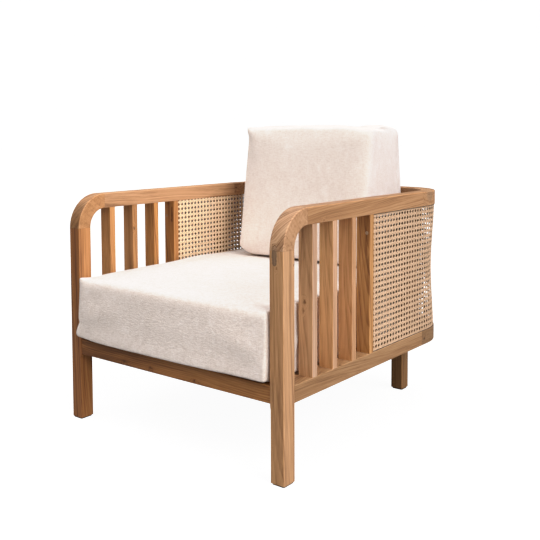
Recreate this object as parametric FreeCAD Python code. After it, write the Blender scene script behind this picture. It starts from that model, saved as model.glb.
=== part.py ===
import FreeCAD, Part
import math
import os

# Low lounge armchair: a teak frame with bent-looking arm corners, slatted sides,
# a double cane screen round the rear, and two loose cushions.
# Units are millimetres, +Z is up, the sitter faces -Y.
# "right" is +X and "left" is -X, as seen by someone facing the chair.
# While it is drawn, Y = 0 is the front face of the front legs.
# Every piece is shifted by -Y_MID at the end, so the origin is the
# bottom centre of the whole chair's box.

V = FreeCAD.Vector

# ---------------------------------------------------------------- sizes
WIDTH = 730.0            # over the arms
HALF = WIDTH / 2.0
STOCK = 40.0             # square section of the frame timber
INNER = HALF - STOCK     # inner face of arms and side rails
DEPTH = 824.0            # front of the legs to the back of the back rails
RAIL_Z0, RAIL_Z1 = 180.0, 220.0     # bottom rails
ARM_Z0, ARM_Z1 = 572.0, 612.0       # arms and back top rail
PAD_H = 3.0              # foot pad under each leg

CURVE_RO, CURVE_RI = 90.0, 50.0     # arm corner block, side view
CURVE_Y, CURVE_Z = 90.0, ARM_Z1 - 90.0

CORNER_RO, CORNER_RI = 146.0, 106.0  # rear corner, plan view
CX = HALF - CORNER_RO                # corner centre in X
CY = DEPTH - CORNER_RO               # corner centre in Y
CORNER_STUB = 38.0                   # straight tail at each end of a corner block
CORNER_Y0 = CY - CORNER_STUB         # side joint line
CORNER_X0 = CX - CORNER_STUB         # back joint line

FRONT_RAIL_SET = 2.5     # front rail stands this far behind the leg's face
FRONT_RAIL_T = 30.0

SLAT_T = 18.7            # side slat thickness, front to back
SLAT_Y = (108.5, 191.9, 275.1)
POST_Y = 357.7           # cane post, same section as the slats
TENON = 12.0             # stub tenon length on slats, posts and uprights

LEG_STEP = 3.0           # front leg is thinned on its inner face below the rail

REAR_LEG_X0, REAR_LEG_X1 = 206.0, 246.0
REAR_LEG_Y0, REAR_LEG_Y1 = 746.0, 784.0
DECK_T = 18.0            # seat slat thickness
DECK_Z0 = RAIL_Z1 - DECK_T
DECK_W, DECK_PITCH, DECK_START, DECK_N = 62.0, 92.0, 44.0, 7

CANE_T = 1.7             # woven sheet
GROOVE_D = 7.0
OUT_GROOVE = (1.0, 4.0)  # distances in from the outer face
OUT_SPLINE = (1.05, 2.15)
OUT_SHEET = (2.2, 3.9)
IN_GROOVE = (36.0, 39.0)
IN_SPLINE = (37.85, 38.95)
IN_SHEET = (36.1, 37.8)
SPLINE_PROUD = 1.5       # outer spline stands this far out of its groove
WAIST_OUT, WAIST_IN = 21.7, 11.0     # growth of the corner radius at mid height
UPRIGHT = (5.5, 34.5)    # uprights between the two sheets, in from the outer face
REAR_UP_Y = (575.0, 615.0)
BACK_UP_X = (120.0, 160.0)
STILE_W = 21.6

DOWEL_D, DOWEL_L, DOWEL_FIT, DOWEL_HOLE = 10.0, 48.0, 0.05, 25.0
DOWEL_GAP = 9.0          # each pair stands this far either side of the middle

ROUND_TOP = 3.0          # rounding of arm tops and leg fronts
ROUND = 1.5              # rounding elsewhere

SEAT_X = 323.0
SEAT_Y0, SEAT_Y0_TOP, SEAT_Y1 = -20.58, -8.0, 775.0
SEAT_Z0, SEAT_Z1 = 220.4, 391.0
SEAT_CORNER = 125.0
BACK_X = 233.0
BACK_Z0, BACK_Z1 = 391.6, 787.0
BACK_FRONT_LOW, BACK_FRONT_TOP = 552.0, 607.0
BACK_REAR, BACK_REAR_TOP, BACK_REAR_Z = 783.4, 762.0, 612.0
COVER_T = 2.0            # cushion cover

Y_MID = (DEPTH - 20.0) / 2.0   # the seat cushion stands 20 in front of the legs

# ---------------------------------------------------------------- helpers
os.makedirs("parts", exist_ok=True)
made = []


def box(x0, x1, y0, y1, z0, z1):
    return Part.makeBox(x1 - x0, y1 - y0, z1 - z0, V(x0, y0, z0))


def rod(p, axis, r, length):
    return Part.makeCylinder(r, length, V(*p), V(*axis))


def flip(shape):
    return shape.mirror(V(0, 0, 0), V(1, 0, 0))


def export(name, shape):
    s = shape.copy()
    s.translate(V(0, -Y_MID, 0))
    solids = s.Solids
    assert solids, name
    for one in solids:
        assert one.isValid(), name + " is not valid"
        assert one.Volume > 0, name + " has no volume"
    if len(solids) == 1:
        s = solids[0]
    else:
        s = Part.makeCompound(solids)
    s.exportStep("parts/" + name + ".step")
    made.append((name, len(solids), sum(o.Volume for o in solids)))
    return s


def pair(name, right):
    export(name + "_right", right)
    export(name + "_left", flip(right))


def edges_at(shape, test):
    """Edges whose middle point and tangent satisfy a test."""
    found = []
    for e in shape.Edges:
        if e.Degenerated or e.Length < 1e-4:
            continue
        mid = e.valueAt((e.FirstParameter + e.LastParameter) / 2.0)
        tan = e.tangentAt((e.FirstParameter + e.LastParameter) / 2.0)
        if test(mid, tan, e):
            found.append(e)
    return found


def near(a, b, tol=0.01):
    return abs(a - b) < tol


def soften(shape, jobs):
    """Rounds edges: jobs are (radius, test) pairs."""
    for radius, test in jobs:
        es = edges_at(shape, test)
        if es:
            shape = shape.makeFillet(radius, es)
    return shape


def u_wire(off0, off1, z, y0, grow=0.0):
    """Closed thin U in plan, from side y0 round both rear corners.
    off0 and off1 are distances in from the frame's outer face;
    grow adds to the corner radius, which pulls the corner inwards."""
    cx, cy = CX - grow, CY - grow
    d = math.sqrt(0.5)

    def run(off, sign):
        r = CORNER_RO - off + grow
        x = HALF - off
        y = DEPTH - off
        pts = [
            ((x, y0, z), (x, cy, z)),
            ((x, cy, z), (cx + r * d, cy + r * d, z), (cx, y, z)),
            ((cx, y, z), (-cx, y, z)),
            ((-cx, y, z), (-cx - r * d, cy + r * d, z), (-x, cy, z)),
            ((-x, cy, z), (-x, y0, z)),
        ]
        if sign < 0:
            pts = [tuple(reversed(p)) for p in reversed(pts)]
        return pts

    outer = run(off0, 1)
    inner = run(off1, -1)
    xo, xi = HALF - off0, HALF - off1
    items = outer + [((-xo, y0, z), (-xi, y0, z))] + inner + [((xi, y0, z), (xo, y0, z))]
    edges = []
    for item in items:
        if len(item) == 2:
            edges.append(Part.makeLine(V(*item[0]), V(*item[1])))
        else:
            edges.append(Part.Arc(V(*item[0]), V(*item[1]), V(*item[2])).toShape())
    return Part.Wire(edges)


def u_band(off0, off1, z0, z1, y0):
    return Part.Face(u_wire(off0, off1, z0, y0)).extrude(V(0, 0, z1 - z0))


# ---------------------------------------------------------------- cutters
mid_x = (HALF + INNER) / 2.0
arm_mid = (ARM_Z0 + ARM_Z1) / 2.0
rail_mid = (RAIL_Z0 + RAIL_Z1) / 2.0
back_mid = DEPTH - STOCK / 2.0

# right-hand dowel centres and directions
dowel_spots = []
for s in (-1, 1):
    g = s * DOWEL_GAP
    dowel_spots.append(((mid_x + g, STOCK / 2.0, CURVE_Z), (0, 0, 1)))
    dowel_spots.append(((mid_x + g, CURVE_Y, arm_mid), (0, 1, 0)))
    dowel_spots.append(((mid_x + g, CORNER_Y0, arm_mid), (0, 1, 0)))
    dowel_spots.append(((CORNER_X0, back_mid + g, arm_mid), (1, 0, 0)))
    dowel_spots.append(((mid_x + g, CORNER_Y0, rail_mid), (0, 1, 0)))
    dowel_spots.append(((CORNER_X0, back_mid + g, rail_mid), (1, 0, 0)))


def centred(spot, r, length):
    p, a = spot
    start = tuple(p[i] - a[i] * length / 2.0 for i in range(3))
    return rod(start, a, r, length)


dowels = []
for spot in dowel_spots:
    d = centred(spot, DOWEL_D / 2.0, DOWEL_L)
    d = d.makeChamfer(1.0, edges_at(d, lambda m, t, e: isinstance(e.Curve, Part.Circle)))
    dowels += [d, flip(d)]
dowel_holes = []
for spot in dowel_spots:
    h = centred(spot, DOWEL_D / 2.0 + DOWEL_FIT, DOWEL_HOLE * 2)
    dowel_holes += [h, flip(h)]
dowel_cut = Part.makeCompound(dowel_holes)

# grooves for the cane, in the top of the bottom rails and the underside of the arms
groove_y0 = POST_Y + SLAT_T
grooves = []
for g in (OUT_GROOVE, IN_GROOVE):
    grooves.append(u_band(g[0], g[1], RAIL_Z1 - GROOVE_D, RAIL_Z1 + 1.0, groove_y0))
    grooves.append(u_band(g[0], g[1], ARM_Z0 - 1.0, ARM_Z0 + GROOVE_D, groove_y0))


def cut_all(shape, tools):
    for t in tools:
        shape = shape.cut(t)
    return shape


# stub tenon sockets: (x0, x1, y0, y1)
def socket_boxes(x0, x1, y0, y1, extra=0.5):
    return [
        box(x0, x1, y0, y1, RAIL_Z1 - TENON - extra, RAIL_Z1 + 1),
        box(x0, x1, y0, y1, ARM_Z0 - 1, ARM_Z0 + TENON + extra),
    ]


tenon_x = (INNER + 8.0, HALF - 8.0)
tenon_in = 4.0
slat_sockets = []
for y in SLAT_Y + (POST_Y,):
    slat_sockets += socket_boxes(tenon_x[0], tenon_x[1], y + tenon_in, y + SLAT_T - tenon_in)
up_x = (HALF - UPRIGHT[1], HALF - UPRIGHT[0])
up_sockets = socket_boxes(up_x[0] + 7, up_x[1] - 7, REAR_UP_Y[0] + 8, REAR_UP_Y[1] - 8)
back_up_y = (DEPTH - UPRIGHT[1], DEPTH - UPRIGHT[0])
back_sockets = socket_boxes(BACK_UP_X[0] + 8, BACK_UP_X[1] - 8, back_up_y[0] + 7, back_up_y[1] - 7)
back_sockets += [flip(b) for b in back_sockets]

# ---------------------------------------------------------------- front legs
leg = box(INNER, HALF, 0, STOCK, PAD_H, CURVE_Z)
leg = soften(leg, [
    (ROUND_TOP, lambda m, t, e: abs(t.z) > 0.99 and near(m.y, 0)),
    (ROUND, lambda m, t, e: abs(t.z) > 0.99 and near(m.y, STOCK)),
])
step_wire = Part.Wire([
    Part.makeLine(V(INNER - 2, -1, -1), V(INNER + LEG_STEP, -1, -1)),
    Part.makeLine(V(INNER + LEG_STEP, -1, -1), V(INNER + LEG_STEP, -1, RAIL_Z0 - 18)),
    Part.Arc(V(INNER + LEG_STEP, -1, RAIL_Z0 - 18), V(INNER + LEG_STEP * 0.72, -1, RAIL_Z0 - 8.0),
             V(INNER, -1, RAIL_Z0 - 2.5)).toShape(),
    Part.makeLine(V(INNER, -1, RAIL_Z0 - 2.5), V(INNER - 2, -1, RAIL_Z0 - 2.5)),
    Part.makeLine(V(INNER - 2, -1, RAIL_Z0 - 2.5), V(INNER - 2, -1, -1)),
])
leg = leg.cut(Part.Face(step_wire).extrude(V(0, STOCK + 2, 0)))
front_tenon = (INNER, INNER + 24.0, 10.0, 22.0, RAIL_Z0 + 7, RAIL_Z1 - 7)
side_tenon = (mid_x - 7, mid_x + 7, 26.0, STOCK, RAIL_Z0 + 7, RAIL_Z1 - 7)
leg = leg.cut(box(front_tenon[0] - 1, front_tenon[1] + 0.5, *front_tenon[2:]))
leg = leg.cut(box(side_tenon[0], side_tenon[1], side_tenon[2] - 0.5, side_tenon[3] + 1, *side_tenon[4:]))
leg = leg.cut(dowel_cut)
front_pad_x = (INNER + LEG_STEP + HALF) / 2.0
pad_stem = 12.0
leg = leg.cut(rod((front_pad_x, STOCK / 2.0, 0), (0, 0, 1), 2.55, PAD_H + pad_stem + 0.5))
pair("front_leg", leg)

# ---------------------------------------------------------------- arm corner blocks
curve = Part.makeCylinder(CURVE_RO, STOCK, V(INNER, CURVE_Y, CURVE_Z), V(1, 0, 0))
curve = curve.cut(Part.makeCylinder(CURVE_RI, STOCK + 2, V(INNER - 1, CURVE_Y, CURVE_Z), V(1, 0, 0)))
curve = curve.common(box(INNER - 1, HALF + 1, CURVE_Y - CURVE_RO - 1, CURVE_Y, CURVE_Z, CURVE_Z + CURVE_RO + 1))


def arc_edge(radius):
    return lambda m, t, e: isinstance(e.Curve, Part.Circle) and near(e.Curve.Radius, radius, 0.1)


curve = soften(curve, [(ROUND_TOP, arc_edge(CURVE_RO)), (ROUND, arc_edge(CURVE_RI))])
curve = curve.cut(dowel_cut)
pair("arm_curve", curve)

# ---------------------------------------------------------------- arms and side rails
along_y = lambda m, t, e: abs(t.y) > 0.99
arm = box(INNER, HALF, CURVE_Y, CORNER_Y0, ARM_Z0, ARM_Z1)
arm = soften(arm, [
    (ROUND_TOP, lambda m, t, e: abs(t.y) > 0.99 and near(m.z, ARM_Z1)),
    (ROUND, lambda m, t, e: abs(t.y) > 0.99 and near(m.z, ARM_Z0)),
])
arm = cut_all(arm, slat_sockets + up_sockets + grooves).cut(dowel_cut)
pair("arm_rail", arm)

side = box(INNER, HALF, STOCK, CORNER_Y0, RAIL_Z0, RAIL_Z1)
side = soften(side, [(ROUND, along_y)])
side = side.fuse(box(*side_tenon[:2], side_tenon[2], STOCK + 5, *side_tenon[4:])).removeSplitter()
side = cut_all(side, slat_sockets + up_sockets + grooves).cut(dowel_cut)

# cleat screws run through the cleat into the rail
CLEAT_W, CLEAT_H = 22.0, DECK_Z0 - RAIL_Z0
CLEAT_Y = (44.0, 658.0)
cleat_screw_y = (121.0, 305.0, 397.0, 581.0)
cleat_screw_z = RAIL_Z0 + CLEAT_H / 2.0
SCREW_R, SCREW_HEAD_R, SCREW_L = 2.0, 4.0, 40.0


def screw(p, axis, length=SCREW_L, head_r=SCREW_HEAD_R, r=SCREW_R):
    """Countersunk screw whose flat head face is at p, running along axis."""
    a = V(*axis)
    tip = V(*p) + a * 4.0
    head = Part.makeCone(head_r, r, 4.0, V(*p), a)
    shank = Part.makeCylinder(r, length - 8.0, tip, a)
    point = Part.makeCone(r, 0.6, 4.0, tip + a * (length - 8.0), a)
    slot = Part.makeBox(head_r * 1.2, 1.0, 1.2)
    slot.translate(V(-head_r * 0.6, -0.5, 0))
    slot2 = Part.makeBox(1.0, head_r * 1.2, 1.2)
    slot2.translate(V(-0.5, -head_r * 0.6, 0))
    cross = slot.fuse(slot2)
    rot = FreeCAD.Rotation(V(0, 0, 1), a)
    cross.Placement = FreeCAD.Placement(V(*p) - a * 0.001, rot)
    return head.fuse(shank).fuse(point).removeSplitter().cut(cross)


def screw_hole(p, axis, length=SCREW_L, head_r=SCREW_HEAD_R, r=SCREW_R, fit=0.08):
    a = V(*axis)
    back = V(*p) - a * 3.0
    tip = V(*p) + a * 4.0
    head = Part.makeCone(head_r + fit, r + fit, 4.0, V(*p), a)
    shank = Part.makeCylinder(r + fit, length - 3.0, tip - a * 0.01, a)
    mouth = Part.makeCylinder(head_r + fit, 3.01, back, a)
    return head.fuse(shank).fuse(mouth)


cleat_spots = [((INNER - CLEAT_W + 1.0, y, cleat_screw_z), (1, 0, 0)) for y in cleat_screw_y]
back_cleat_spots = [((x, DEPTH - STOCK - CLEAT_W + 1.0, cleat_screw_z), (0, 1, 0)) for x in (-120.0, 0.0, 120.0)]
cleat_holes = [screw_hole(*s) for s in cleat_spots]
side = cut_all(side, cleat_holes)
pair("side_rail", side)

# ---------------------------------------------------------------- rear corner blocks
def corner_block(z0, z1):
    ring = Part.makeCylinder(CORNER_RO, z1 - z0, V(CX, CY, z0)).cut(
        Part.makeCylinder(CORNER_RI, z1 - z0 + 2, V(CX, CY, z0 - 1)))
    ring = ring.common(box(CX, HALF + 1, CY, DEPTH + 1, z0 - 1, z1 + 1))
    ring = ring.fuse(box(INNER, HALF, CORNER_Y0, CY, z0, z1))
    ring = ring.fuse(box(CORNER_X0, CX, DEPTH - STOCK, DEPTH, z0, z1))
    return ring.removeSplitter()


def on_outline(m, t, e):
    """Long edges of a corner block: level, and not on its two end faces."""
    return abs(t.z) < 0.01 and not near(m.x, CORNER_X0) and not near(m.y, CORNER_Y0)


top_corner = corner_block(ARM_Z0, ARM_Z1)
top_corner = soften(top_corner, [
    (ROUND_TOP, lambda m, t, e: on_outline(m, t, e) and near(m.z, ARM_Z1)),
    (ROUND, lambda m, t, e: on_outline(m, t, e) and near(m.z, ARM_Z0)),
])
top_corner = cut_all(top_corner, grooves).cut(dowel_cut)
pair("rear_corner_top", top_corner)

BOLT_Z = RAIL_Z0 + 11.0
bolt_x = (216.0, 236.0)
INSERT_R, INSERT_L, BOLT_R = 5.5, 18.0, 3.0
bolt_y0 = REAR_LEG_Y0 + 1.0
bolt_end = 806.0
low_corner = corner_block(RAIL_Z0, RAIL_Z1)
low_corner = soften(low_corner, [(ROUND, on_outline)])
low_corner = cut_all(low_corner, grooves).cut(dowel_cut)
for x in bolt_x:
    low_corner = low_corner.cut(rod((x, 770, BOLT_Z), (0, 1, 0), INSERT_R + 0.05, bolt_end + 1.0 - 770))
pair("rear_corner_bottom", low_corner)

# ---------------------------------------------------------------- back rails
along_x = lambda m, t, e: abs(t.x) > 0.99
back_top = box(-CORNER_X0, CORNER_X0, DEPTH - STOCK, DEPTH, ARM_Z0, ARM_Z1)
back_top = soften(back_top, [
    (ROUND_TOP, lambda m, t, e: abs(t.x) > 0.99 and near(m.z, ARM_Z1)),
    (ROUND, lambda m, t, e: abs(t.x) > 0.99 and near(m.z, ARM_Z0)),
])
back_top = cut_all(back_top, back_sockets + grooves).cut(dowel_cut)
export("back_top_rail", back_top)

back_low = box(-CORNER_X0, CORNER_X0, DEPTH - STOCK, DEPTH, RAIL_Z0, RAIL_Z1)
back_low = soften(back_low, [(ROUND, along_x)])
back_low = cut_all(back_low, back_sockets + grooves + [screw_hole(*s) for s in back_cleat_spots]).cut(dowel_cut)
export("back_bottom_rail", back_low)

# ---------------------------------------------------------------- front rail
fr = box(-INNER, INNER, FRONT_RAIL_SET, FRONT_RAIL_SET + FRONT_RAIL_T, RAIL_Z0, RAIL_Z1)
fr = soften(fr, [(ROUND, along_x)])
for s in (1, -1):
    x0, x1 = sorted((s * (INNER - 5), s * front_tenon[1]))
    fr = fr.fuse(box(x0, x1, *front_tenon[2:]))
fr = fr.removeSplitter()
export("front_rail", fr)

# ---------------------------------------------------------------- slats, cane posts, uprights
def upright(x0, x1, y0, y1, tx, ty, r):
    body = box(x0, x1, y0, y1, RAIL_Z1, ARM_Z0)
    body = soften(body, [(r, lambda m, t, e: abs(t.z) > 0.99)])
    tenon = box(x0 + tx, x1 - tx, y0 + ty, y1 - ty, RAIL_Z1 - TENON, ARM_Z0 + TENON)
    return body.fuse(tenon).removeSplitter()


for i, y in enumerate(SLAT_Y):
    pair("slat_%d" % (i + 1), upright(INNER, HALF, y, y + SLAT_T, 8.0, tenon_in, ROUND))

post = upright(INNER, HALF, POST_Y, POST_Y + SLAT_T, 8.0, tenon_in, ROUND)
PLUG_R, PLUG_L = 4.5, 5.0
plug_x, plug_z = 355.5, 526.0
POST_SCREW_L = 32.0
post_spot = ((plug_x, POST_Y + PLUG_L + 0.3, plug_z), (0, 1, 0))
post = post.cut(rod((plug_x, POST_Y - 1, plug_z), (0, 1, 0), PLUG_R + 0.05, PLUG_L + 1.2))
post_hole = screw_hole(post_spot[0], post_spot[1], POST_SCREW_L, 3.6, 1.75)
post = post.cut(post_hole)
pair("cane_post", post)

stile = box(up_x[0], up_x[1], POST_Y + SLAT_T, POST_Y + SLAT_T + STILE_W, RAIL_Z1, ARM_Z0)
stile = stile.cut(post_hole)
pair("cane_stile", stile)

pair("rear_upright", upright(up_x[0], up_x[1], REAR_UP_Y[0], REAR_UP_Y[1], 7.0, 8.0, 2.0))
pair("back_upright", upright(BACK_UP_X[0], BACK_UP_X[1], back_up_y[0], back_up_y[1], 8.0, 7.0, 2.0))

# ---------------------------------------------------------------- cane sheets and splines
def one_sheet(offs, waist):
    """Woven sheet held in the grooves; stretched, it draws in at the rear corners."""
    y0 = groove_y0 + 0.1
    half = (ARM_Z0 - RAIL_Z1) / 2.0
    mid = (ARM_Z0 + RAIL_Z1) / 2.0
    heights = [RAIL_Z1 - GROOVE_D + 1.0, RAIL_Z1 - 3.0]
    heights += [mid + half * (-1.0 + k / 6.0) for k in range(13)]
    heights += [ARM_Z0 + 3.0, ARM_Z0 + GROOVE_D - 1.0]
    wires = []
    for z in heights:
        u = min(1.0, abs(z - mid) / half)
        wires.append(u_wire(offs[0], offs[1], z, y0, waist * (1.0 - u * u) ** 2))
    return Part.makeLoft(wires, True, False)


export("cane_outer", one_sheet(OUT_SHEET, WAIST_OUT))
export("cane_inner", one_sheet(IN_SHEET, WAIST_IN))

spline_y0 = groove_y0 + 0.1
export("cane_splines_outer", Part.makeCompound([
    u_band(OUT_SPLINE[0], OUT_SPLINE[1], RAIL_Z1 - 6.0, RAIL_Z1 + SPLINE_PROUD, spline_y0),
    u_band(OUT_SPLINE[0], OUT_SPLINE[1], ARM_Z0 - SPLINE_PROUD, ARM_Z0 + 6.0, spline_y0),
]))
export("cane_splines_inner", Part.makeCompound([
    u_band(IN_SPLINE[0], IN_SPLINE[1], RAIL_Z1 - 6.0, RAIL_Z1, spline_y0),
    u_band(IN_SPLINE[0], IN_SPLINE[1], ARM_Z0, ARM_Z0 + 6.0, spline_y0),
]))

# ---------------------------------------------------------------- rear legs
rear = box(REAR_LEG_X0, REAR_LEG_X1, REAR_LEG_Y0, REAR_LEG_Y1, PAD_H, DECK_Z0)
rear = soften(rear, [(5.0, lambda m, t, e: abs(t.z) > 0.99)])
rear = soften(rear, [(3.0, lambda m, t, e: near(m.z, PAD_H) and abs(t.z) < 0.5)])
# scribed to the inside of the rear corner block
rear = rear.cut(corner_block(RAIL_Z0, RAIL_Z1))
rear_mid_x = (REAR_LEG_X0 + REAR_LEG_X1) / 2.0
rear_mid_y = (REAR_LEG_Y0 + REAR_LEG_Y1) / 2.0
for x in bolt_x:
    rear = rear.cut(rod((x, REAR_LEG_Y0 - 1, BOLT_Z), (0, 1, 0), 7.2, 8.2))
    rear = rear.cut(rod((x, REAR_LEG_Y0, BOLT_Z), (0, 1, 0), BOLT_R + 0.3, 60))
rear = rear.cut(rod((rear_mid_x, rear_mid_y, 0), (0, 0, 1), 2.55, PAD_H + pad_stem + 0.5))

# ---------------------------------------------------------------- seat deck
deck_spots = []
for i in range(DECK_N):
    y0 = DECK_START + i * DECK_PITCH
    s = box(-(INNER - 1), INNER - 1, y0, y0 + DECK_W, DECK_Z0, RAIL_Z1)
    s = soften(s, [(2.5, lambda m, t, e: abs(t.x) > 0.99 and near(m.z, RAIL_Z1))])
    spots = [((x, y0 + DECK_W / 2.0, RAIL_Z1 - 0.8), (0, 0, -1)) for x in (-313.0, 313.0)]
    deck_spots += spots
    s = cut_all(s, [screw_hole(p, a, 32.0) for p, a in spots])
    export("seat_slat_%d" % (i + 1), s)

last_y = (706.0, 768.0)
s = box(-258.0, 258.0, last_y[0], last_y[1], DECK_Z0, RAIL_Z1)
s = soften(s, [(2.5, lambda m, t, e: abs(t.x) > 0.99 and near(m.z, RAIL_Z1))])
last_spots = [((x, 757.0, RAIL_Z1 - 0.8), (0, 0, -1)) for x in (-rear_mid_x, rear_mid_x)]
s = cut_all(s, [screw_hole(p, a, 32.0) for p, a in last_spots])
export("seat_slat_%d" % (DECK_N + 1), s)
rear = rear.cut(screw_hole(last_spots[1][0], last_spots[1][1], 32.0))
pair("rear_leg", rear)

cleat = box(INNER - CLEAT_W, INNER, CLEAT_Y[0], CLEAT_Y[1], RAIL_Z0, DECK_Z0)
cleat = soften(cleat, [(2.0, lambda m, t, e: abs(t.y) > 0.99 and near(m.x, INNER - CLEAT_W) and near(m.z, RAIL_Z0))])
cleat = cut_all(cleat, cleat_holes + [screw_hole(p, a, 32.0) for p, a in deck_spots if p[0] > 0])
pair("seat_cleat", cleat)
bc = box(-175.0, 175.0, DEPTH - STOCK - CLEAT_W, DEPTH - STOCK, RAIL_Z0, DECK_Z0)
bc = soften(bc, [(2.0, lambda m, t, e: abs(t.x) > 0.99 and near(m.y, DEPTH - STOCK - CLEAT_W) and near(m.z, RAIL_Z0))])
bc = cut_all(bc, [screw_hole(*q) for q in back_cleat_spots])
export("seat_cleat_back", bc)

# ---------------------------------------------------------------- fasteners
export("joint_dowels", Part.makeCompound(dowels))
export("deck_screws", Part.makeCompound([screw(p, a, 32.0) for p, a in deck_spots + last_spots]))
side_screws = [screw(*q) for q in cleat_spots]
export("cleat_screws", Part.makeCompound(
    side_screws + [flip(q) for q in side_screws] + [screw(*q) for q in back_cleat_spots]))
post_screw = screw(post_spot[0], post_spot[1], POST_SCREW_L, 3.6, 1.75)
export("post_screws", Part.makeCompound([post_screw, flip(post_screw)]))
plug = rod((plug_x, POST_Y, plug_z), (0, 1, 0), PLUG_R, PLUG_L)
export("wood_plugs", Part.makeCompound([plug, flip(plug)]))

bolts, inserts = [], []
for x in bolt_x:
    head = rod((x, bolt_y0, BOLT_Z), (0, 1, 0), 7.0, 6.0)
    head = head.makeChamfer(0.6, edges_at(head, lambda m, t, e: isinstance(e.Curve, Part.Circle) and near(m.y, bolt_y0)))
    hexagon = Part.makePolygon([V(x + 2.3 * math.cos(math.radians(60 * k)), bolt_y0 - 0.5,
                                  BOLT_Z + 2.3 * math.sin(math.radians(60 * k))) for k in range(7)])
    head = head.cut(Part.Face(hexagon).extrude(V(0, 4.0, 0)))
    shank = rod((x, bolt_y0 + 6.0, BOLT_Z), (0, 1, 0), BOLT_R, bolt_end - bolt_y0 - 6.0)
    b = head.fuse(shank).removeSplitter()
    ins = rod((x, bolt_end - 1.0 - INSERT_L, BOLT_Z), (0, 1, 0), INSERT_R, INSERT_L).cut(
        rod((x, 760, BOLT_Z), (0, 1, 0), BOLT_R + 0.05, 60))
    bolts += [b, flip(b)]
    inserts += [ins, flip(ins)]
export("rear_leg_bolts", Part.makeCompound(bolts))
export("rear_leg_inserts", Part.makeCompound(inserts))

# ---------------------------------------------------------------- foot pads
pads = []
for x, y, w, d in ((front_pad_x, STOCK / 2.0, 34.0, 37.0), (rear_mid_x, rear_mid_y, 33.0, 31.0)):
    p = box(x - w / 2, x + w / 2, y - d / 2, y + d / 2, 0, PAD_H)
    p = soften(p, [(4.0, lambda m, t, e: abs(t.z) > 0.99)])
    p = p.fuse(rod((x, y, PAD_H), (0, 0, 1), 2.5, pad_stem))
    pads += [p, flip(p)]
export("foot_pads", Part.makeCompound(pads))

# ---------------------------------------------------------------- cushions
def seat_solid(inset, r_side, r_top, r_low):
    x = SEAT_X - inset
    y0, y0t, y1 = SEAT_Y0 + inset, SEAT_Y0_TOP + inset, SEAT_Y1 - inset
    z0, z1 = SEAT_Z0 + inset, SEAT_Z1 - inset
    r = SEAT_CORNER - inset
    d = r * (1 - math.sqrt(0.5))
    wire = Part.Wire([
        Part.makeLine(V(-x, y0, z0), V(x, y0, z0)),
        Part.makeLine(V(x, y0, z0), V(x, y1 - r, z0)),
        Part.Arc(V(x, y1 - r, z0), V(x - d, y1 - d, z0), V(x - r, y1, z0)).toShape(),
        Part.makeLine(V(x - r, y1, z0), V(-x + r, y1, z0)),
        Part.Arc(V(-x + r, y1, z0), V(-x + d, y1 - d, z0), V(-x, y1 - r, z0)).toShape(),
        Part.makeLine(V(-x, y1 - r, z0), V(-x, y0, z0)),
    ])
    body = Part.Face(wire).extrude(V(0, 0, z1 - z0))
    slope = Part.Face(Part.makePolygon([
        V(-x - 5, y0 - 5, z0), V(-x - 5, y0, z0), V(-x - 5, y0t, z1), V(-x - 5, y0 - 5, z1), V(-x - 5, y0 - 5, z0)]))
    body = body.cut(slope.extrude(V(2 * x + 10, 0, 0)))
    body = soften(body, [(r_side, lambda m, t, e: abs(m.y - (y0 + y0t) / 2) < 4 and abs(abs(m.x) - x) < 0.1)])
    body = soften(body, [(r_top, lambda m, t, e: near(m.z, z1) and abs(t.z) < 0.01)])
    body = soften(body, [(r_low, lambda m, t, e: near(m.z, z0) and abs(t.z) < 0.01)])
    return body


def back_solid(inset, r):
    x = BACK_X - inset
    pts = [
        (BACK_FRONT_LOW + inset, BACK_Z0 + inset),
        (BACK_REAR - inset, BACK_Z0 + inset),
        (BACK_REAR - inset, BACK_REAR_Z),
        (BACK_REAR_TOP - inset, BACK_Z1 - inset),
        (BACK_FRONT_TOP + inset, BACK_Z1 - inset),
    ]
    ring = [V(-x, y, z) for y, z in pts]
    body = Part.Face(Part.makePolygon(ring + [ring[0]])).extrude(V(2 * x, 0, 0))

    def sharp(m, t, e):
        if abs(t.x) > 0.99:
            return not near(m.z, BACK_REAR_Z)
        return False

    body = soften(body, [(r, sharp)])
    body = soften(body, [(r, lambda m, t, e: near(abs(m.x), x))])
    return body


def cushion(name, outer, inner):
    cover = outer.cut(inner)
    export(name + "_cover", cover)
    export(name + "_foam", inner)


cushion("seat_cushion", seat_solid(0.0, 20.0, 14.0, 8.0), seat_solid(COVER_T, 18.0, 12.0, 6.0))
cushion("back_cushion", back_solid(0.0, 20.0), back_solid(COVER_T, 18.0))

total = 0.0
for name, n, vol in made:
    total += vol
    print("%-24s %2d solids %12.1f mm3" % (name, n, vol))
print(len(made), "nodes")
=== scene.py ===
import math
import random

import bpy
import numpy as np
from mathutils import Matrix, Vector


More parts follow.
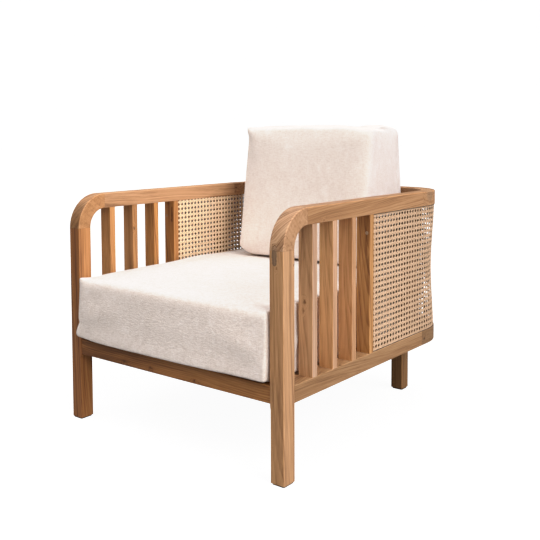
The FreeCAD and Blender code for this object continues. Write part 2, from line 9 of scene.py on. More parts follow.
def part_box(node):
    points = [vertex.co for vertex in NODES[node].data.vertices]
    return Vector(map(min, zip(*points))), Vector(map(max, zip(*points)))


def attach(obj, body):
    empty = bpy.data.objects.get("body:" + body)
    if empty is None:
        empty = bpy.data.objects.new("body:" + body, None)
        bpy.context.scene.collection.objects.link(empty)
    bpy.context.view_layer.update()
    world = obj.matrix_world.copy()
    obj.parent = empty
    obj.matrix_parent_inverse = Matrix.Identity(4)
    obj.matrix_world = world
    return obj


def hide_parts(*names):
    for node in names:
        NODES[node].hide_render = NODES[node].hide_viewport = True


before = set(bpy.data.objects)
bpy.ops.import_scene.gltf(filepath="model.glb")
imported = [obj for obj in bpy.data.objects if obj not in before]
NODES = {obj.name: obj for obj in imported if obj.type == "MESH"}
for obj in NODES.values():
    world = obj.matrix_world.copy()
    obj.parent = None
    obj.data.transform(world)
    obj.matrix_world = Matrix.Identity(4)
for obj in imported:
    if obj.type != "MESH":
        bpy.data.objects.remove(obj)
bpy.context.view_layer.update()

SCENE = bpy.context.scene

# The chair in millimetres, Y = 0 at the front face of the front legs.
# The row frame has its origin 402 mm behind that face, on the floor.
MM = 0.001
Y_MID = 402.0
HALF, DEPTH = 365.0, 824.0
CORNER_R = 146.0
CX, CY = HALF - CORNER_R, DEPTH - CORNER_R


def P(x, y, z):
    return Vector((x * MM, (y - Y_MID) * MM, z * MM))


# ---------------------------------------------------------------- node helpers
class Mat:
    """A material and short ways to add nodes to it."""

    def __init__(self, name):
        self.m = bpy.data.materials.new(name)
        self.m.use_nodes = True
        self.t = self.m.node_tree
        self.t.nodes.clear()
        self.out = self.t.nodes.new("ShaderNodeOutputMaterial")
        self.bsdf = self.t.nodes.new("ShaderNodeBsdfPrincipled")
        self.t.links.new(self.bsdf.outputs[0], self.out.inputs[0])

    def put(self, socket, value):
        if value is None:
            return
        if isinstance(value, bpy.types.NodeSocket):
            self.t.links.new(value, socket)
        else:
            socket.default_value = value

    def set(self, name, value):
        self.put(self.bsdf.inputs[name], value)

    def coords(self):
        return self.t.nodes.new("ShaderNodeTexCoord").outputs["Object"]

    def attr(self, name):
        n = self.t.nodes.new("ShaderNodeAttribute")
        n.attribute_name = name
        return n.outputs["Vector"]

    def math(self, op, a, b=None, c=None, clamp=False):
        n = self.t.nodes.new("ShaderNodeMath")
        n.operation = op
        n.use_clamp = clamp
        for i, x in enumerate((a, b, c)):
            self.put(n.inputs[i], x)
        return n.outputs[0]

    def vmath(self, op, a, b=None, c=None):
        n = self.t.nodes.new("ShaderNodeVectorMath")
        n.operation = op
        self.put(n.inputs[0], a)
        if b is not None:
            self.put(n.inputs[1], b)
        if c is not None:
            self.put(n.inputs[2], c)
        return n.outputs["Value"] if op in ("DOT_PRODUCT", "LENGTH", "DISTANCE") else n.outputs["Vector"]

    def sep(self, v):
        n = self.t.nodes.new("ShaderNodeSeparateXYZ")
        self.put(n.inputs[0], v)
        return n.outputs[0], n.outputs[1], n.outputs[2]

    def comb(self, x, y, z):
        n = self.t.nodes.new("ShaderNodeCombineXYZ")
        for i, v in enumerate((x, y, z)):
            self.put(n.inputs[i], v)
        return n.outputs[0]

    def noise(self, vec, scale=1.0, detail=2.0, rough=0.5, out="Fac", dims="3D"):
        n = self.t.nodes.new("ShaderNodeTexNoise")
        n.noise_dimensions = dims
        self.put(n.inputs["Vector"], vec)
        n.inputs["Scale"].default_value = scale
        n.inputs["Detail"].default_value = detail
        n.inputs["Roughness"].default_value = rough
        return n.outputs["Fac"] if out == "Fac" else n.outputs["Color"]

    def span(self, v, a, b, c=0.0, d=1.0, smooth=True):
        n = self.t.nodes.new("ShaderNodeMapRange")
        n.interpolation_type = "SMOOTHSTEP" if smooth else "LINEAR"
        n.clamp = True
        self.put(n.inputs["Value"], v)
        for k, x in (("From Min", a), ("From Max", b), ("To Min", c), ("To Max", d)):
            n.inputs[k].default_value = x
        return n.outputs["Result"]

    def ramp(self, v, stops, mode="LINEAR"):
        n = self.t.nodes.new("ShaderNodeValToRGB")
        self.put(n.inputs[0], v)
        r = n.color_ramp
        r.interpolation = mode
        while len(r.elements) < len(stops):
            r.elements.new(0.5)
        for e, (pos, col) in zip(r.elements, stops):
            e.position = pos
            e.color = (*col, 1.0)
        return n.outputs["Color"]

    def mix(self, fac, a, b, kind="MIX"):
        n = self.t.nodes.new("ShaderNodeMix")
        n.data_type = "RGBA"
        n.blend_type = kind
        self.put(n.inputs[0], fac)
        for i, x in ((6, a), (7, b)):
            self.put(n.inputs[i], x if isinstance(x, bpy.types.NodeSocket) else (*x, 1.0))
        return n.outputs[2]

    def bump(self, height, strength, distance):
        n = self.t.nodes.new("ShaderNodeBump")
        n.inputs["Strength"].default_value = strength
        n.inputs["Distance"].default_value = distance
        self.put(n.inputs["Height"], height)
        self.set("Normal", n.outputs[0])


def smooth01(x):
    x = np.clip(x, 0.0, 1.0)
    return x * x * (3 - 2 * x)


def dress(node, mat):
    """Every material slot of a CAD node takes this finish."""
    me = NODES[node].data
    if not me.materials:
        me.materials.append(mat)
    for i in range(len(me.materials)):
        me.materials[i] = mat


# ---------------------------------------------------------------- timber
LIGHT = (0.500, 0.283, 0.142)
MID = (0.392, 0.198, 0.088)
DARK = (0.205, 0.092, 0.038)
GREY = (0.150, 0.115, 0.082)


def wood(name, grain, pith, slope=(0.0, 0.0), spacing=5.5, seed=0.0, tint=(1.0, 1.0, 1.0), wave=1.0, figure=1.0,
         streaky=1.0, knots=(), joints=(), stains=(), lines=(), faces=(), calm=None, edge=0.22, turn=None):
    """Sawn teak. grain: direction of the fibres. pith: where the tree's centre line passes,
    as (direction across the grain, distance from the piece's middle in mm). slope tilts that
    line against the fibres, which draws arches or slanting stripes on a flat face.
    knots: (x, y, z, radius, depth). stains: (x, y, z, radius, depth), greyish. lines: dark upright
    streaks, and where wide a painted shade (x, y, z from, z to, radius, depth, greyness). faces: (direction, z from,
    gain per channel),
    painted light and shade: faces turned that way are made lighter or darker. calm: (direction, share of the figure
    left on faces that way). turn: the axis a curved block bends about."""
    m = Mat(name)
    lo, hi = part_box(name)
    mid = (lo + hi) / 2
    g = Vector(grain).normalized()
    e1 = Vector(pith[0])
    e1 = (e1 - g * e1.dot(g)).normalized()
    e2 = g.cross(e1)
    p = m.coords()
    rel = m.vmath("SUBTRACT", p, tuple(mid))
    u = m.vmath("DOT_PRODUCT", rel, tuple(e1))
    v = m.vmath("DOT_PRODUCT", rel, tuple(e2))
    w = m.vmath("DOT_PRODUCT", rel, tuple(g))
    shift = seed * 3.7
    slow = m.comb(m.math("ADD", u, shift), m.math("ADD", v, shift * 0.61), m.math("MULTIPLY", w, 0.22))
    sway = m.noise(slow, 11.0, 2.0, 0.5, out="Color")
    sx, sy, sz = m.sep(sway)
    # ragged outlines for knots and stains
    ragged = m.vmath("MULTIPLY_ADD", m.noise(p, 150.0, 2.0, 0.6, out="Color"), (0.008,) * 3, (-0.004,) * 3)
    q = m.vmath("ADD", p, ragged)
    near = core = None
    for kx, ky, kz, kr, k in knots:
        dv_ = m.vmath("SUBTRACT", q, tuple(P(kx, ky, kz)))
        al = m.math("MULTIPLY", m.vmath("DOT_PRODUCT", dv_, tuple(g)), 0.42)
        dv_ = m.vmath("SUBTRACT", dv_, m.vmath("MULTIPLY", m.comb(al, al, al), tuple(g)))
        d = m.vmath("LENGTH", dv_)
        f = m.span(d, kr * MM * 4.0, 0.0)
        near = f if near is None else m.math("MAXIMUM", near, f)
        c = m.span(d, kr * MM * 1.35, kr * MM * 0.2, 0.0, k)
        core = c if core is None else m.math("MAXIMUM", core, c)
    amp = 0.018 * wave
    du = m.math("MULTIPLY", m.math("SUBTRACT", sx, 0.5), amp)
    dv = m.math("MULTIPLY", m.math("SUBTRACT", sy, 0.5), amp)
    uu = m.math("ADD", m.math("SUBTRACT", u, pith[1] * MM), du)
    vv = m.math("ADD", v, dv)
    if slope[0]:
        uu = m.math("ADD", uu, m.math("MULTIPLY", w, slope[0]))
    if slope[1]:
        vv = m.math("ADD", vv, m.math("MULTIPLY", w, slope[1]))
    r = m.math("SQRT", m.math("ADD", m.math("MULTIPLY", uu, uu), m.math("MULTIPLY", vv, vv)))
    if near is not None:
        r = m.math("ADD", r, m.math("MULTIPLY", near, 0.012))
    uneven = m.noise(m.comb(m.math("MULTIPLY", r, 95.0), shift, 0.0), 1.0, 1.0, 0.5)
    t = m.math("ADD", m.math("MULTIPLY", r, 1.0 / (spacing * MM)), m.math("MULTIPLY", uneven, 2.6))
    phase = m.math("FRACT", t)
    ring = m.ramp(phase, [(0.0, (0.84,) * 3), (0.14, (0.92,) * 3), (0.52, (0.64,) * 3),
                          (0.76, (0.26,) * 3), (0.90, (0.04,) * 3), (1.0, (0.84,) * 3)], "EASE")
    # how strongly each ring shows drifts from place to place
    depth = m.span(m.noise(slow, 24.0, 1.0, 0.5), 0.30, 0.72, 0.35, 1.0)
    ring = m.math("MULTIPLY", m.math("SUBTRACT", ring, 0.56), depth)
    if calm is not None:
        geo = m.t.nodes.new("ShaderNodeNewGeometry")
        still = m.span(m.math("ABSOLUTE", m.vmath("DOT_PRODUCT", geo.outputs["True Normal"], calm[0])), 0.55, 0.85, 1.0, calm[1])
        ring = m.math("MULTIPLY", ring, still)
    # groups of darker and lighter years
    band = m.noise(m.comb(m.math("MULTIPLY", r, 0.42 / (spacing * MM)), shift + 5.0, m.math("MULTIPLY", w, 0.9)), 1.0, 2.0, 0.55)
    band = m.math("SUBTRACT", band, 0.5)
    if calm is not None:
        band = m.math("MULTIPLY", band, still)
    fine = m.comb(m.math("MULTIPLY", m.math("ADD", uu, shift), 620.0), m.math("MULTIPLY", vv, 620.0), m.math("MULTIPLY", w, 9.0))
    fibre = m.noise(fine, 1.0, 3.0, 0.6)
    streak = m.noise(m.comb(m.math("MULTIPLY", m.math("ADD", uu, shift), 150.0), m.math("MULTIPLY", vv, 150.0), m.math("MULTIPLY", w, 2.6)), 1.0, 2.0, 0.55)
    patch = m.noise(slow, 6.5, 2.0, 0.5)
    pore = m.span(m.noise(m.comb(m.math("MULTIPLY", uu, 1300.0), m.math("MULTIPLY", vv, 1300.0), m.math("MULTIPLY", w, 42.0)), 1.0, 1.0, 0.5), 0.60, 0.74)
    val = m.math("MULTIPLY_ADD", ring, 0.52 * figure, 0.60)
    val = m.math("ADD", val, m.math("MULTIPLY", band, 0.95 * figure))
    val = m.math("ADD", val, m.math("MULTIPLY", m.math("SUBTRACT", fibre, 0.5), 0.40))
    val = m.math("ADD", val, m.math("MULTIPLY", m.math("SUBTRACT", streak, 0.5), 0.78 * streaky))
    val = m.math("ADD", val, m.math("MULTIPLY", m.math("SUBTRACT", patch, 0.5), 0.60))
    val = m.math("SUBTRACT", val, m.math("MULTIPLY", pore, 0.10))
    if core is not None:
        val = m.math("SUBTRACT", val, core)
    grey = None
    x_, y_, z_ = m.sep(q)
    for lx, ly, z0, z1, lr, k, gr in lines:
        c = P(lx, ly, 0)
        dx, dy = m.math("SUBTRACT", x_, c.x), m.math("SUBTRACT", y_, c.y)
        dz = m.math("MAXIMUM", m.math("MAXIMUM", m.math("SUBTRACT", z0 * MM, z_), m.math("SUBTRACT", z_, z1 * MM)), 0.0)
        d = m.vmath("LENGTH", m.comb(dx, dy, dz))
        f = m.span(d, lr * MM, lr * MM * 0.6)
        val = m.math("SUBTRACT", val, m.math("MULTIPLY", f, k))
        f = m.math("MULTIPLY", f, gr)
        grey = f if grey is None else m.math("MAXIMUM", grey, f)
    for (kx, ky, kz, kr, k) in stains:
        d = m.vmath("DISTANCE", q, tuple(P(kx, ky, kz)))
        wob = m.math("MULTIPLY_ADD", m.math("SUBTRACT", sz, 0.5), 0.02, d)
        f = m.math("MULTIPLY", m.span(wob, kr * MM, kr * MM * 0.5), k)
        grey = f if grey is None else m.math("MAXIMUM", grey, f)
    # thin dark glue lines where two blocks meet
    for axis, at in joints:
        at = (at - Y_MID) * MM if axis == 1 else at * MM
        c = m.sep(p)[axis]
        d = m.math("ABSOLUTE", m.math("SUBTRACT", c, at))
        val = m.math("SUBTRACT", val, m.span(d, 0.0009, 0.0003, 0.0, 0.13))

    def shade(c, k):
        return tuple(x * a * k for x, a in zip(c, tint))

    col = m.ramp(val, [(0.0, shade(DARK, 0.60)), (0.26, shade(DARK, 1.0)), (0.58, shade(MID, 1.0)), (0.98, shade(LIGHT, 1.06))])
    if grey is not None:
        col = m.mix(grey, col, GREY)
    # painted light and shade: faces turned the given way, above the given height, have their colour multiplied by the
    # gain
    for way, z_from, gain in faces:
        geo = m.t.nodes.new("ShaderNodeNewGeometry")
        f = m.span(m.vmath("DOT_PRODUCT", geo.outputs["True Normal"], way), 0.55, 0.85)
        f = m.math("MULTIPLY", f, m.span(m.sep(p)[2], (z_from - 6) * MM, (z_from + 6) * MM))
        k = m.comb(*(m.math("MULTIPLY_ADD", f, c - 1.0, 1.0) for c in gain))
        col = m.vmath("MULTIPLY", col, k)
    # painted highlight on the rounded arrises: where the surface faces none of the piece's own directions its colour is
    # made paler
    geo = m.t.nodes.new("ShaderNodeNewGeometry")
    nx, ny, nz = (m.math("ABSOLUTE", c) for c in m.sep(geo.outputs["True Normal"]))
    if turn == "x":
        flat = m.math("MAXIMUM", nx, m.vmath("LENGTH", m.comb(ny, nz, 0.0)))
    elif turn == "z":
        flat = m.math("MAXIMUM", nz, m.vmath("LENGTH", m.comb(nx, ny, 0.0)))
    else:
        flat = m.math("MAXIMUM", nx, m.math("MAXIMUM", ny, nz))
    painted_arris_highlight = m.span(flat, 0.985, 0.88, 1.0, 1.0 + edge)
    col = m.vmath("MULTIPLY", col, m.comb(painted_arris_highlight, painted_arris_highlight, painted_arris_highlight))
    m.set("Base Color", col)
    m.set("Roughness", m.span(fibre, 0.25, 0.75, 0.50, 0.66, smooth=False))
    m.set("Specular IOR Level", 0.38)
    h = m.math("ADD", m.math("MULTIPLY", fibre, 0.7), m.math("MULTIPLY", ring, 0.35))
    h = m.math("SUBTRACT", h, m.math("MULTIPLY", pore, 0.5))
    m.bump(h, 0.22, 0.0006)
    dress(name, m.m)
    return m.m


Z, Y, X = (0, 0, 1), (0, 1, 0), (1, 0, 0)
# In the calls below every faces entry is painted light or shade: one side of the piece is made lighter or darker by
# which way it faces
wood("front_leg_right", Z, ((0.6, 1, 0), 70), (0.03, 0.05), 5.4, 1.0, (1.20, 1.23, 1.22), figure=0.55, streaky=0.9, joints=((2, 522),),
     knots=((364, 39, 489, 3.0, 0.45), (346, 0, 485, 2.4, 0.30)), lines=((340, 0, 496, 530, 8.5, 0.30, 0.50),), faces=(((1, 0, 0), -20, (0.98, 1.03, 1.15)),))
wood("front_leg_left", Z, ((1, 0.8, 0), 60), (0.04, -0.03), 5.0, 2.0, (0.62, 0.46, 0.31), figure=0.9, streaky=1.6, joints=((2, 522),),
     faces=(((1, 0, 0), -20, (1.20, 1.22, 1.17)), ((1, 0, 0), 385, (1.27, 1.38, 1.55)), ((0, -1, 0), 300, (0.93, 0.88, 0.75))))
wood("arm_curve_right", (0, 1, 1), ((1, 0, 0), -170), (-0.78, 0.0), 7.4, 3.0, (1.01, 1.06, 1.18), wave=0.9, figure=2.2, edge=0.15, turn="x", joints=((2, 522), (1, 90)), calm=((1, 0, 0), 0.22),
     knots=((335, 4, 534, 3.0, 0.30),), lines=((341, 0, 500, 526, 8.0, 0.05, 0.25),))
wood("arm_curve_left", (0, 1, 1), ((1, 0.1, -0.1), -170), (-0.70, 0.0), 6.6, 4.0, (0.95, 0.88, 0.76), wave=0.9, figure=1.4, edge=0.20, turn="x", joints=((2, 522), (1, 90)), calm=((1, 0, 0), 0.45),
     faces=(((0, -1, 0), -20, (0.60, 0.58, 0.52)),))
wood("arm_rail_right", Y, ((0.30, 0, 1), -70), (-0.060, 0.035), 4.0, 5.0, (0.88, 0.87, 0.85), wave=1.9, figure=0.78, streaky=1.05, knots=((365, 154, 577, 2.8, 0.35),),
     joints=((1, 90), (1, 640)))
wood("arm_rail_left", Y, ((-0.30, 0, 1), -64), (0.055, -0.05), 4.4, 6.0, (1.05, 1.08, 1.14), wave=1.5, figure=0.8, streaky=1.0, joints=((1, 90), (1, 640)))
wood("side_rail_right", Y, ((0.35, 0, 1), 60), (0.08, 0.05), 4.6, 7.0, (0.67, 0.67, 0.64), wave=1.8, figure=0.95, streaky=1.05, joints=((1, 640),))
wood("side_rail_left", Y, ((1, 0, 0.4), 42), (0.05, -0.03), 5.0, 8.0, (0.95, 0.92, 0.88), joints=((1, 640),))
wood("rear_corner_top_right", (-1, 1, 0), ((0.4, 0.4, 1), 48), (0.08, 0.03), 4.8, 9.0, (0.82, 0.80, 0.78), turn="z", wave=2.0, figure=1.2,
     joints=((1, 640), (0, 181)), stains=((365, 682, 602, 24, 0.34),), faces=(((-0.707, -0.707, 0), -20, (0.74, 0.72, 0.70)),))
wood("rear_corner_top_left", (1, 1, 0), ((0.4, -0.4, 1), 52), (0.04, -0.03), 5.0, 10.0, (1.05, 1.06, 1.10), turn="z", wave=1.5, joints=((1, 640), (0, -181)),
     knots=((-325, 648, 596, 3.4, 0.8),), faces=(((0.707, -0.707, 0), -20, (0.80, 0.76, 0.72)),))
# painted shade: this corner's tint is about half the others', for the darker place low at the right rear
wood("rear_corner_bottom_right", (-1, 1, 0), ((0.4, 0.4, -1), 50), (0.05, 0.02), 5.6, 11.0, (0.45, 0.45, 0.42), turn="z", wave=1.5, joints=((1, 640), (0, 181)),
     knots=((365, 655, 197, 5.0, 0.9),))
wood("rear_corner_bottom_left", (1, 1, 0), ((0.4, -0.4, -1), 55), (0.04, -0.02), 5.2, 12.0, (0.95, 0.93, 0.9), turn="z", wave=1.5, joints=((1, 640), (0, -181)))
wood("back_top_rail", X, ((0, 1, 0.7), 40), (0.05, 0.04), 5.0, 13.0, (0.76, 0.74, 0.72), wave=1.4, joints=((0, 181), (0, -181)), faces=(((0, -1, 0), -20, (0.72, 0.71, 0.70)),))
wood("back_bottom_rail", X, ((0, 1, -0.6), 44), (0.04, 0.04), 5.4, 14.0, (0.96, 0.94, 0.9), wave=1.4, joints=((0, 181), (0, -181)))
# painted shade: the front rail is tinted darker and browner, and the wide dark patch over its left half stands in for
# the shade under the seat cushion's overhang
wood("front_rail", X, ((0, -0.5, 1), 46), (0.04, 0.05), 5.2, 15.0, (0.87, 0.71, 0.47), wave=1.5, figure=0.9, lines=((-420, 0, 150, 250, 480, 0.32, 0.0),),
     knots=((-154, 0, 191, 3.5, 0.95), (-54, 0, 193, 3.6, 0.95), (95, 0, 189, 3.5, 0.95)))
RIGHT = ((1.30, 1.40, 1.49), (1.45, 1.47, 1.36), (1.28, 1.22, 1.08))
# painted light on the sides of the right slats: less red and more blue than their fronts
SLAT_SIDE_PAINTED_LIGHT = ((0.84, 0.90, 1.16), (0.80, 0.87, 1.20), (0.86, 0.92, 1.14))
LEFT = ((1.15, 1.03, 0.76), (1.00, 0.92, 0.72), (1.09, 0.93, 0.57))
for i in (1, 2, 3):
    kn = ((343, 108.5, 392, 3.4, 0.42), (339, 108.5, 371, 2.4, 0.34)) if i == 1 else ()
    wood(f"slat_{i}_right", Z, ((0.5, 1, 0), 55 + 6 * i), (0.03, 0.02 * i), 5.0, 15.5 + i, RIGHT[i - 1], knots=kn, figure=0.6, streaky=0.9,
         faces=((X, -20, SLAT_SIDE_PAINTED_LIGHT[i - 1]),))
    kn = ((-325, 197, 505, 3.2, 0.8),) if i == 2 else ()
    wood(f"slat_{i}_left", Z, ((1, 0.4, 0), 48 + 9 * i), (0.02 * i, 0.04), 5.0, 19.5 + i, LEFT[i - 1], knots=kn, figure=0.9, wave=1.3)
wood("cane_post_right", Z, ((0.7, 1, 0), 40), (0.06, 0.03), 6.0, 23.0, (0.97, 0.85, 0.57), wave=1.5, figure=1.2, streaky=1.5, faces=((X, -20, (1.22, 1.33, 1.58)),))
wood("cane_post_left", Z, ((0.7, -1, 0), 44), (0.05, 0.03), 5.6, 24.0, (0.87, 0.68, 0.36), wave=1.5, figure=1.2, streaky=1.3, faces=((X, -20, (1.14, 1.21, 1.50)),),
     lines=((-334, 357.7, 512, 552, 3.6, 0.34, 0.0),))
for s, k in (("right", 1), ("left", -1)):
    wood(f"cane_stile_{s}", Z, ((1, 0.5, 0), 50), (0.02, 0.02), 5.0, 25.5 + k, (0.50, 0.42, 0.36))
    # painted shade: the rear uprights are tinted dark for the shade between the two cane layers
    wood(f"rear_upright_{s}", Z, ((k, 0.6, 0), 60), (0.03, 0.02), 5.0, 28.5 + k, (0.36, 0.29, 0.23))
    wood(f"back_upright_{s}", Z, ((0.5, 1, 0), 60), (0.02, 0.03), 5.0, 31.5 + k, (0.6, 0.55, 0.5))
    wood(f"rear_leg_{s}", Z, ((k, -0.8, 0), 55), (0.03, 0.03), 5.0, 34.5 + k, (0.59, 0.55, 0.42), streaky=1.2, faces=((X, -20, (0.74, 0.72, 0.68)),))
    wood(f"seat_cleat_{s}", Y, ((1, 0, 0.6), 45), (0.03, 0.03), 5.0, 37.5 + k, (0.85, 0.83, 0.8))
wood("seat_cleat_back", X, ((0, 1, 0.6), 45), (0.03, 0.03), 5.0, 40.0, (0.85, 0.83, 0.8))
for i in range(1, 9):
    wood(f"seat_slat_{i}", X, ((0, 0.3, 1), 50 + 5 * i), (0.03, 0.02), 5.6, 41.0 + i, (1.09, 1.12, 1.19), wave=1.3)
wood("joint_dowels", Z, ((1, 0, 0), 40), spacing=3.0, seed=50.0, tint=(1.27, 1.35, 1.53), figure=0.5)


def plug_finish():
    """End-grain plugs: the right one is paler than its post, the left one matches."""
    m = Mat("wood_plugs")
    p = m.coords()
    x, y, z = m.sep(p)
    side = m.span(x, -0.1, 0.1)
    d = m.noise(m.vmath("MULTIPLY", p, (900.0, 60.0, 420.0)), 1.0, 3.0, 0.6)
    pale = m.ramp(d, [(0.25, (0.30, 0.185, 0.105)), (0.7, (0.46, 0.31, 0.19))])
    same = m.ramp(d, [(0.25, (0.22, 0.115, 0.05)), (0.7, (0.36, 0.19, 0.085))])
    m.set("Base Color", m.mix(side, same, pale))
    m.set("Roughness", m.span(d, 0.2, 0.8, 0.5, 0.7))
    m.bump(d, 0.2, 0.0004)
    dress("wood_plugs", m.m)


def metal(name, col, rough, seed):
    m = Mat(name)
    p = m.coords()
    n = m.noise(m.vmath("MULTIPLY", p, (1400.0, 220.0, 1400.0)), 1.0, 3.0, 0.6)
    d = m.noise(m.vmath("ADD", p, (seed, 0.0, 0.0)), 160.0, 2.0, 0.5)
    m.set("Base Color", m.mix(d, [c * 0.82 for c in col], col))
    m.set("Metallic", 1.0)
    m.set("Roughness", m.span(n, 0.3, 0.7, rough - 0.08, rough + 0.14))
    m.bump(n, 0.15, 0.0002)
    return m.m


def matte(name, col, scale, depth):
    m = Mat(name)
    p = m.coords()
    n = m.noise(p, scale, 3.0, 0.6)
    d = m.noise(p, 30.0, 2.0, 0.5)
    m.set("Base Color", m.mix(d, [c * 0.75 for c in col], [c * 1.15 for c in col]))
    m.set("Roughness", m.span(n, 0.3, 0.7, 0.72, 0.92))
    m.bump(n, 0.4, depth)
    return m.m


plug_finish()
steel = metal("zinc_steel", (0.58, 0.58, 0.57), 0.36, 1.0)
for n in ("deck_screws", "cleat_screws", "post_screws", "rear_leg_bolts"):
    dress(n, steel)
dress("rear_leg_inserts", metal("brass", (0.72, 0.50, 0.22), 0.34, 2.0))
dress("foot_pads", matte("felt_pad", (0.045, 0.036, 0.030), 1800.0, 0.0005))
spline_mat = matte("reed_spline", (0.085, 0.058, 0.040), 900.0, 0.0003)
dress("cane_splines_outer", spline_mat)
dress("cane_splines_inner", spline_mat)

# ---------------------------------------------------------------- woven cane
PITCH_Z = 13.83
Z_LOW, Z_HIGH = 214.8, 577.2
FIRST_ROW = 224.0          # middle of the lowest pair of courses
PAIR = 1.42                # each strand of a pair stands this far from the pair's middle
STRAND_T = 0.72
Y_CUT = 376.9              # the cut edge behind the post


class Screen:
    """One layer of the screen: a U in plan, drawn in a little at the rear corners half way up."""

    def __init__(self, offset, waist):
        self.off, self.waist = offset, waist
        self.r = CORNER_R - offset
        self.l1 = CY - Y_CUT
        self.la = math.pi / 2 * self.r
        self.lb = CX
        self.half = self.l1 + self.la + self.lb      # from a cut edge to the middle of the back

    def at(self, s, z, depth):
        """Points for distance s from the middle of the back (+ is the right), height z and
        depth outwards; also the outward normal and the direction of growing s."""
        s, z, depth = np.broadcast_arrays(np.asarray(s, float), np.asarray(z, float), np.asarray(depth, float))
        sign = np.where(s < 0, -1.0, 1.0)
        a = np.abs(s)
        u = np.minimum(1.0, np.abs(z - 396.0) / 176.0)
        dr = self.waist * (1 - u * u) ** 2
        r1, cx1, cy1 = self.r + dr, CX - dr, CY - dr
        back = a <= self.lb
        side = a > self.lb + self.la
        th = np.clip((a - self.lb) / self.r, 0, math.pi / 2)     # 0 on the back, 90 degrees on the side
        nx = np.where(back, 0.0, np.where(side, 1.0, np.sin(th)))
        ny = np.where(back, 1.0, np.where(side, 0.0, np.cos(th)))
        bx = np.where(back, a, np.where(side, HALF - self.off, CX + self.r * np.sin(th)))
        by = np.where(back, DEPTH - self.off, np.where(side, CY - (a - self.lb - self.la), CY + self.r * np.cos(th)))
        over = np.where(back, bx - cx1, by - cy1)
        over = np.clip(over, 0.0, None)
        flat = r1 - np.sqrt(np.maximum(r1 * r1 - over * over, 1.0))
        de = dr * (nx + ny)
        rho = -de + np.sqrt(np.maximum(de * de - 2 * dr * dr + r1 * r1, 1.0))
        w = np.where(back | side, flat, self.r - rho)
        px = (bx + nx * (depth - w)) * sign
        py = by + ny * (depth - w)
        pts = np.stack([px * MM, (py - Y_MID) * MM, z * MM], -1)
        nrm = np.stack([nx * sign, ny, np.zeros_like(nx)], -1)
        return pts, nrm


def ribbons(name, screen, strands, width, thick, mats, node, facing):
    """strands: list of (s, z, depth) arrays. Each becomes a closed flat strand, crowned on the side that
    faces out of the double screen and plain pith on the side that faces the other layer; that pith takes a near-black
    finish, painted shade for the inside of the double screen."""
    verts, faces, info, pith = [], [], [], []
    base = 0
    rng = random.Random(name)
    for k, (s, z, d) in enumerate(strands):
        pts, nrm = screen.at(s, z, d)
        n = len(pts)
        if n < 2:
            continue
        tan = np.gradient(pts, axis=0)
        tan /= np.linalg.norm(tan, axis=1, keepdims=True)
        side = np.cross(nrm, tan)
        side /= np.linalg.norm(side, axis=1, keepdims=True)
        up = np.cross(tan, side)
        hw, ht = width * MM / 2, thick * MM / 2
        ring = [(-hw, -ht), (hw, -ht), (hw * 0.93, ht * 0.35), (hw * 0.42, ht), (-hw * 0.42, ht), (-hw * 0.93, ht * 0.35)]
        m, flat = len(ring), (0,)
        if facing < 0:
            ring, flat = [(a, -b) for a, b in reversed(ring)], (3, 4, 5)
        block = np.stack([pts + side * a + up * b for a, b in ring], 1)
        verts.append(block.reshape(-1, 3))
        along = np.concatenate([[0.0], np.cumsum(np.linalg.norm(np.diff(pts, axis=0), axis=1))])
        tag = np.zeros((n, m, 3))
        tag[:, :, 0] = along[:, None]
        tag[:, :, 1] = np.array([a for a, b in ring])[None, :]
        tag[:, :, 2] = rng.random()
        info.append(tag.reshape(-1, 3))
        i = np.arange(n - 1)[:, None] * m + np.arange(m)[None, :]
        j = np.arange(n - 1)[:, None] * m + (np.arange(m)[None, :] + 1) % m
        faces.append((np.stack([i, j, j + m, i + m], -1).reshape(-1, 4) + base))
        # these faces take the second finish, the near-black painted shade
        pith.append(np.tile(np.isin(np.arange(m), flat).astype(int), n - 1))
        ends.setdefault(name, []).append((base, base + (n - 1) * m, m))
        base += n * m
    me = bpy.data.meshes.new(name)
    v = np.concatenate(verts)
    f = np.concatenate(faces)
    caps = []
    for a, b, m in ends[name]:
        caps.append([a + i for i in reversed(range(m))])
        caps.append([b + i for i in range(m)])
    me.from_pydata(v.tolist(), [], f.tolist() + caps)
    at = me.attributes.new("strand", "FLOAT_VECTOR", "POINT")
    at.data.foreach_set("vector", np.concatenate(info).astype(np.float32).ravel())
    me.polygons.foreach_set("use_smooth", [True] * len(f) + [False] * len(caps))
    me.materials.append(mats[0])
    me.materials.append(mats[1])
    me.polygons.foreach_set("material_index", np.concatenate(pith).tolist() + [0] * len(caps))
    me.update()
    ob = bpy.data.objects.new(name, me)
    SCENE.collection.objects.link(ob)
    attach(ob, "frame")
    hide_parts(node)
    return ob


ends = {}


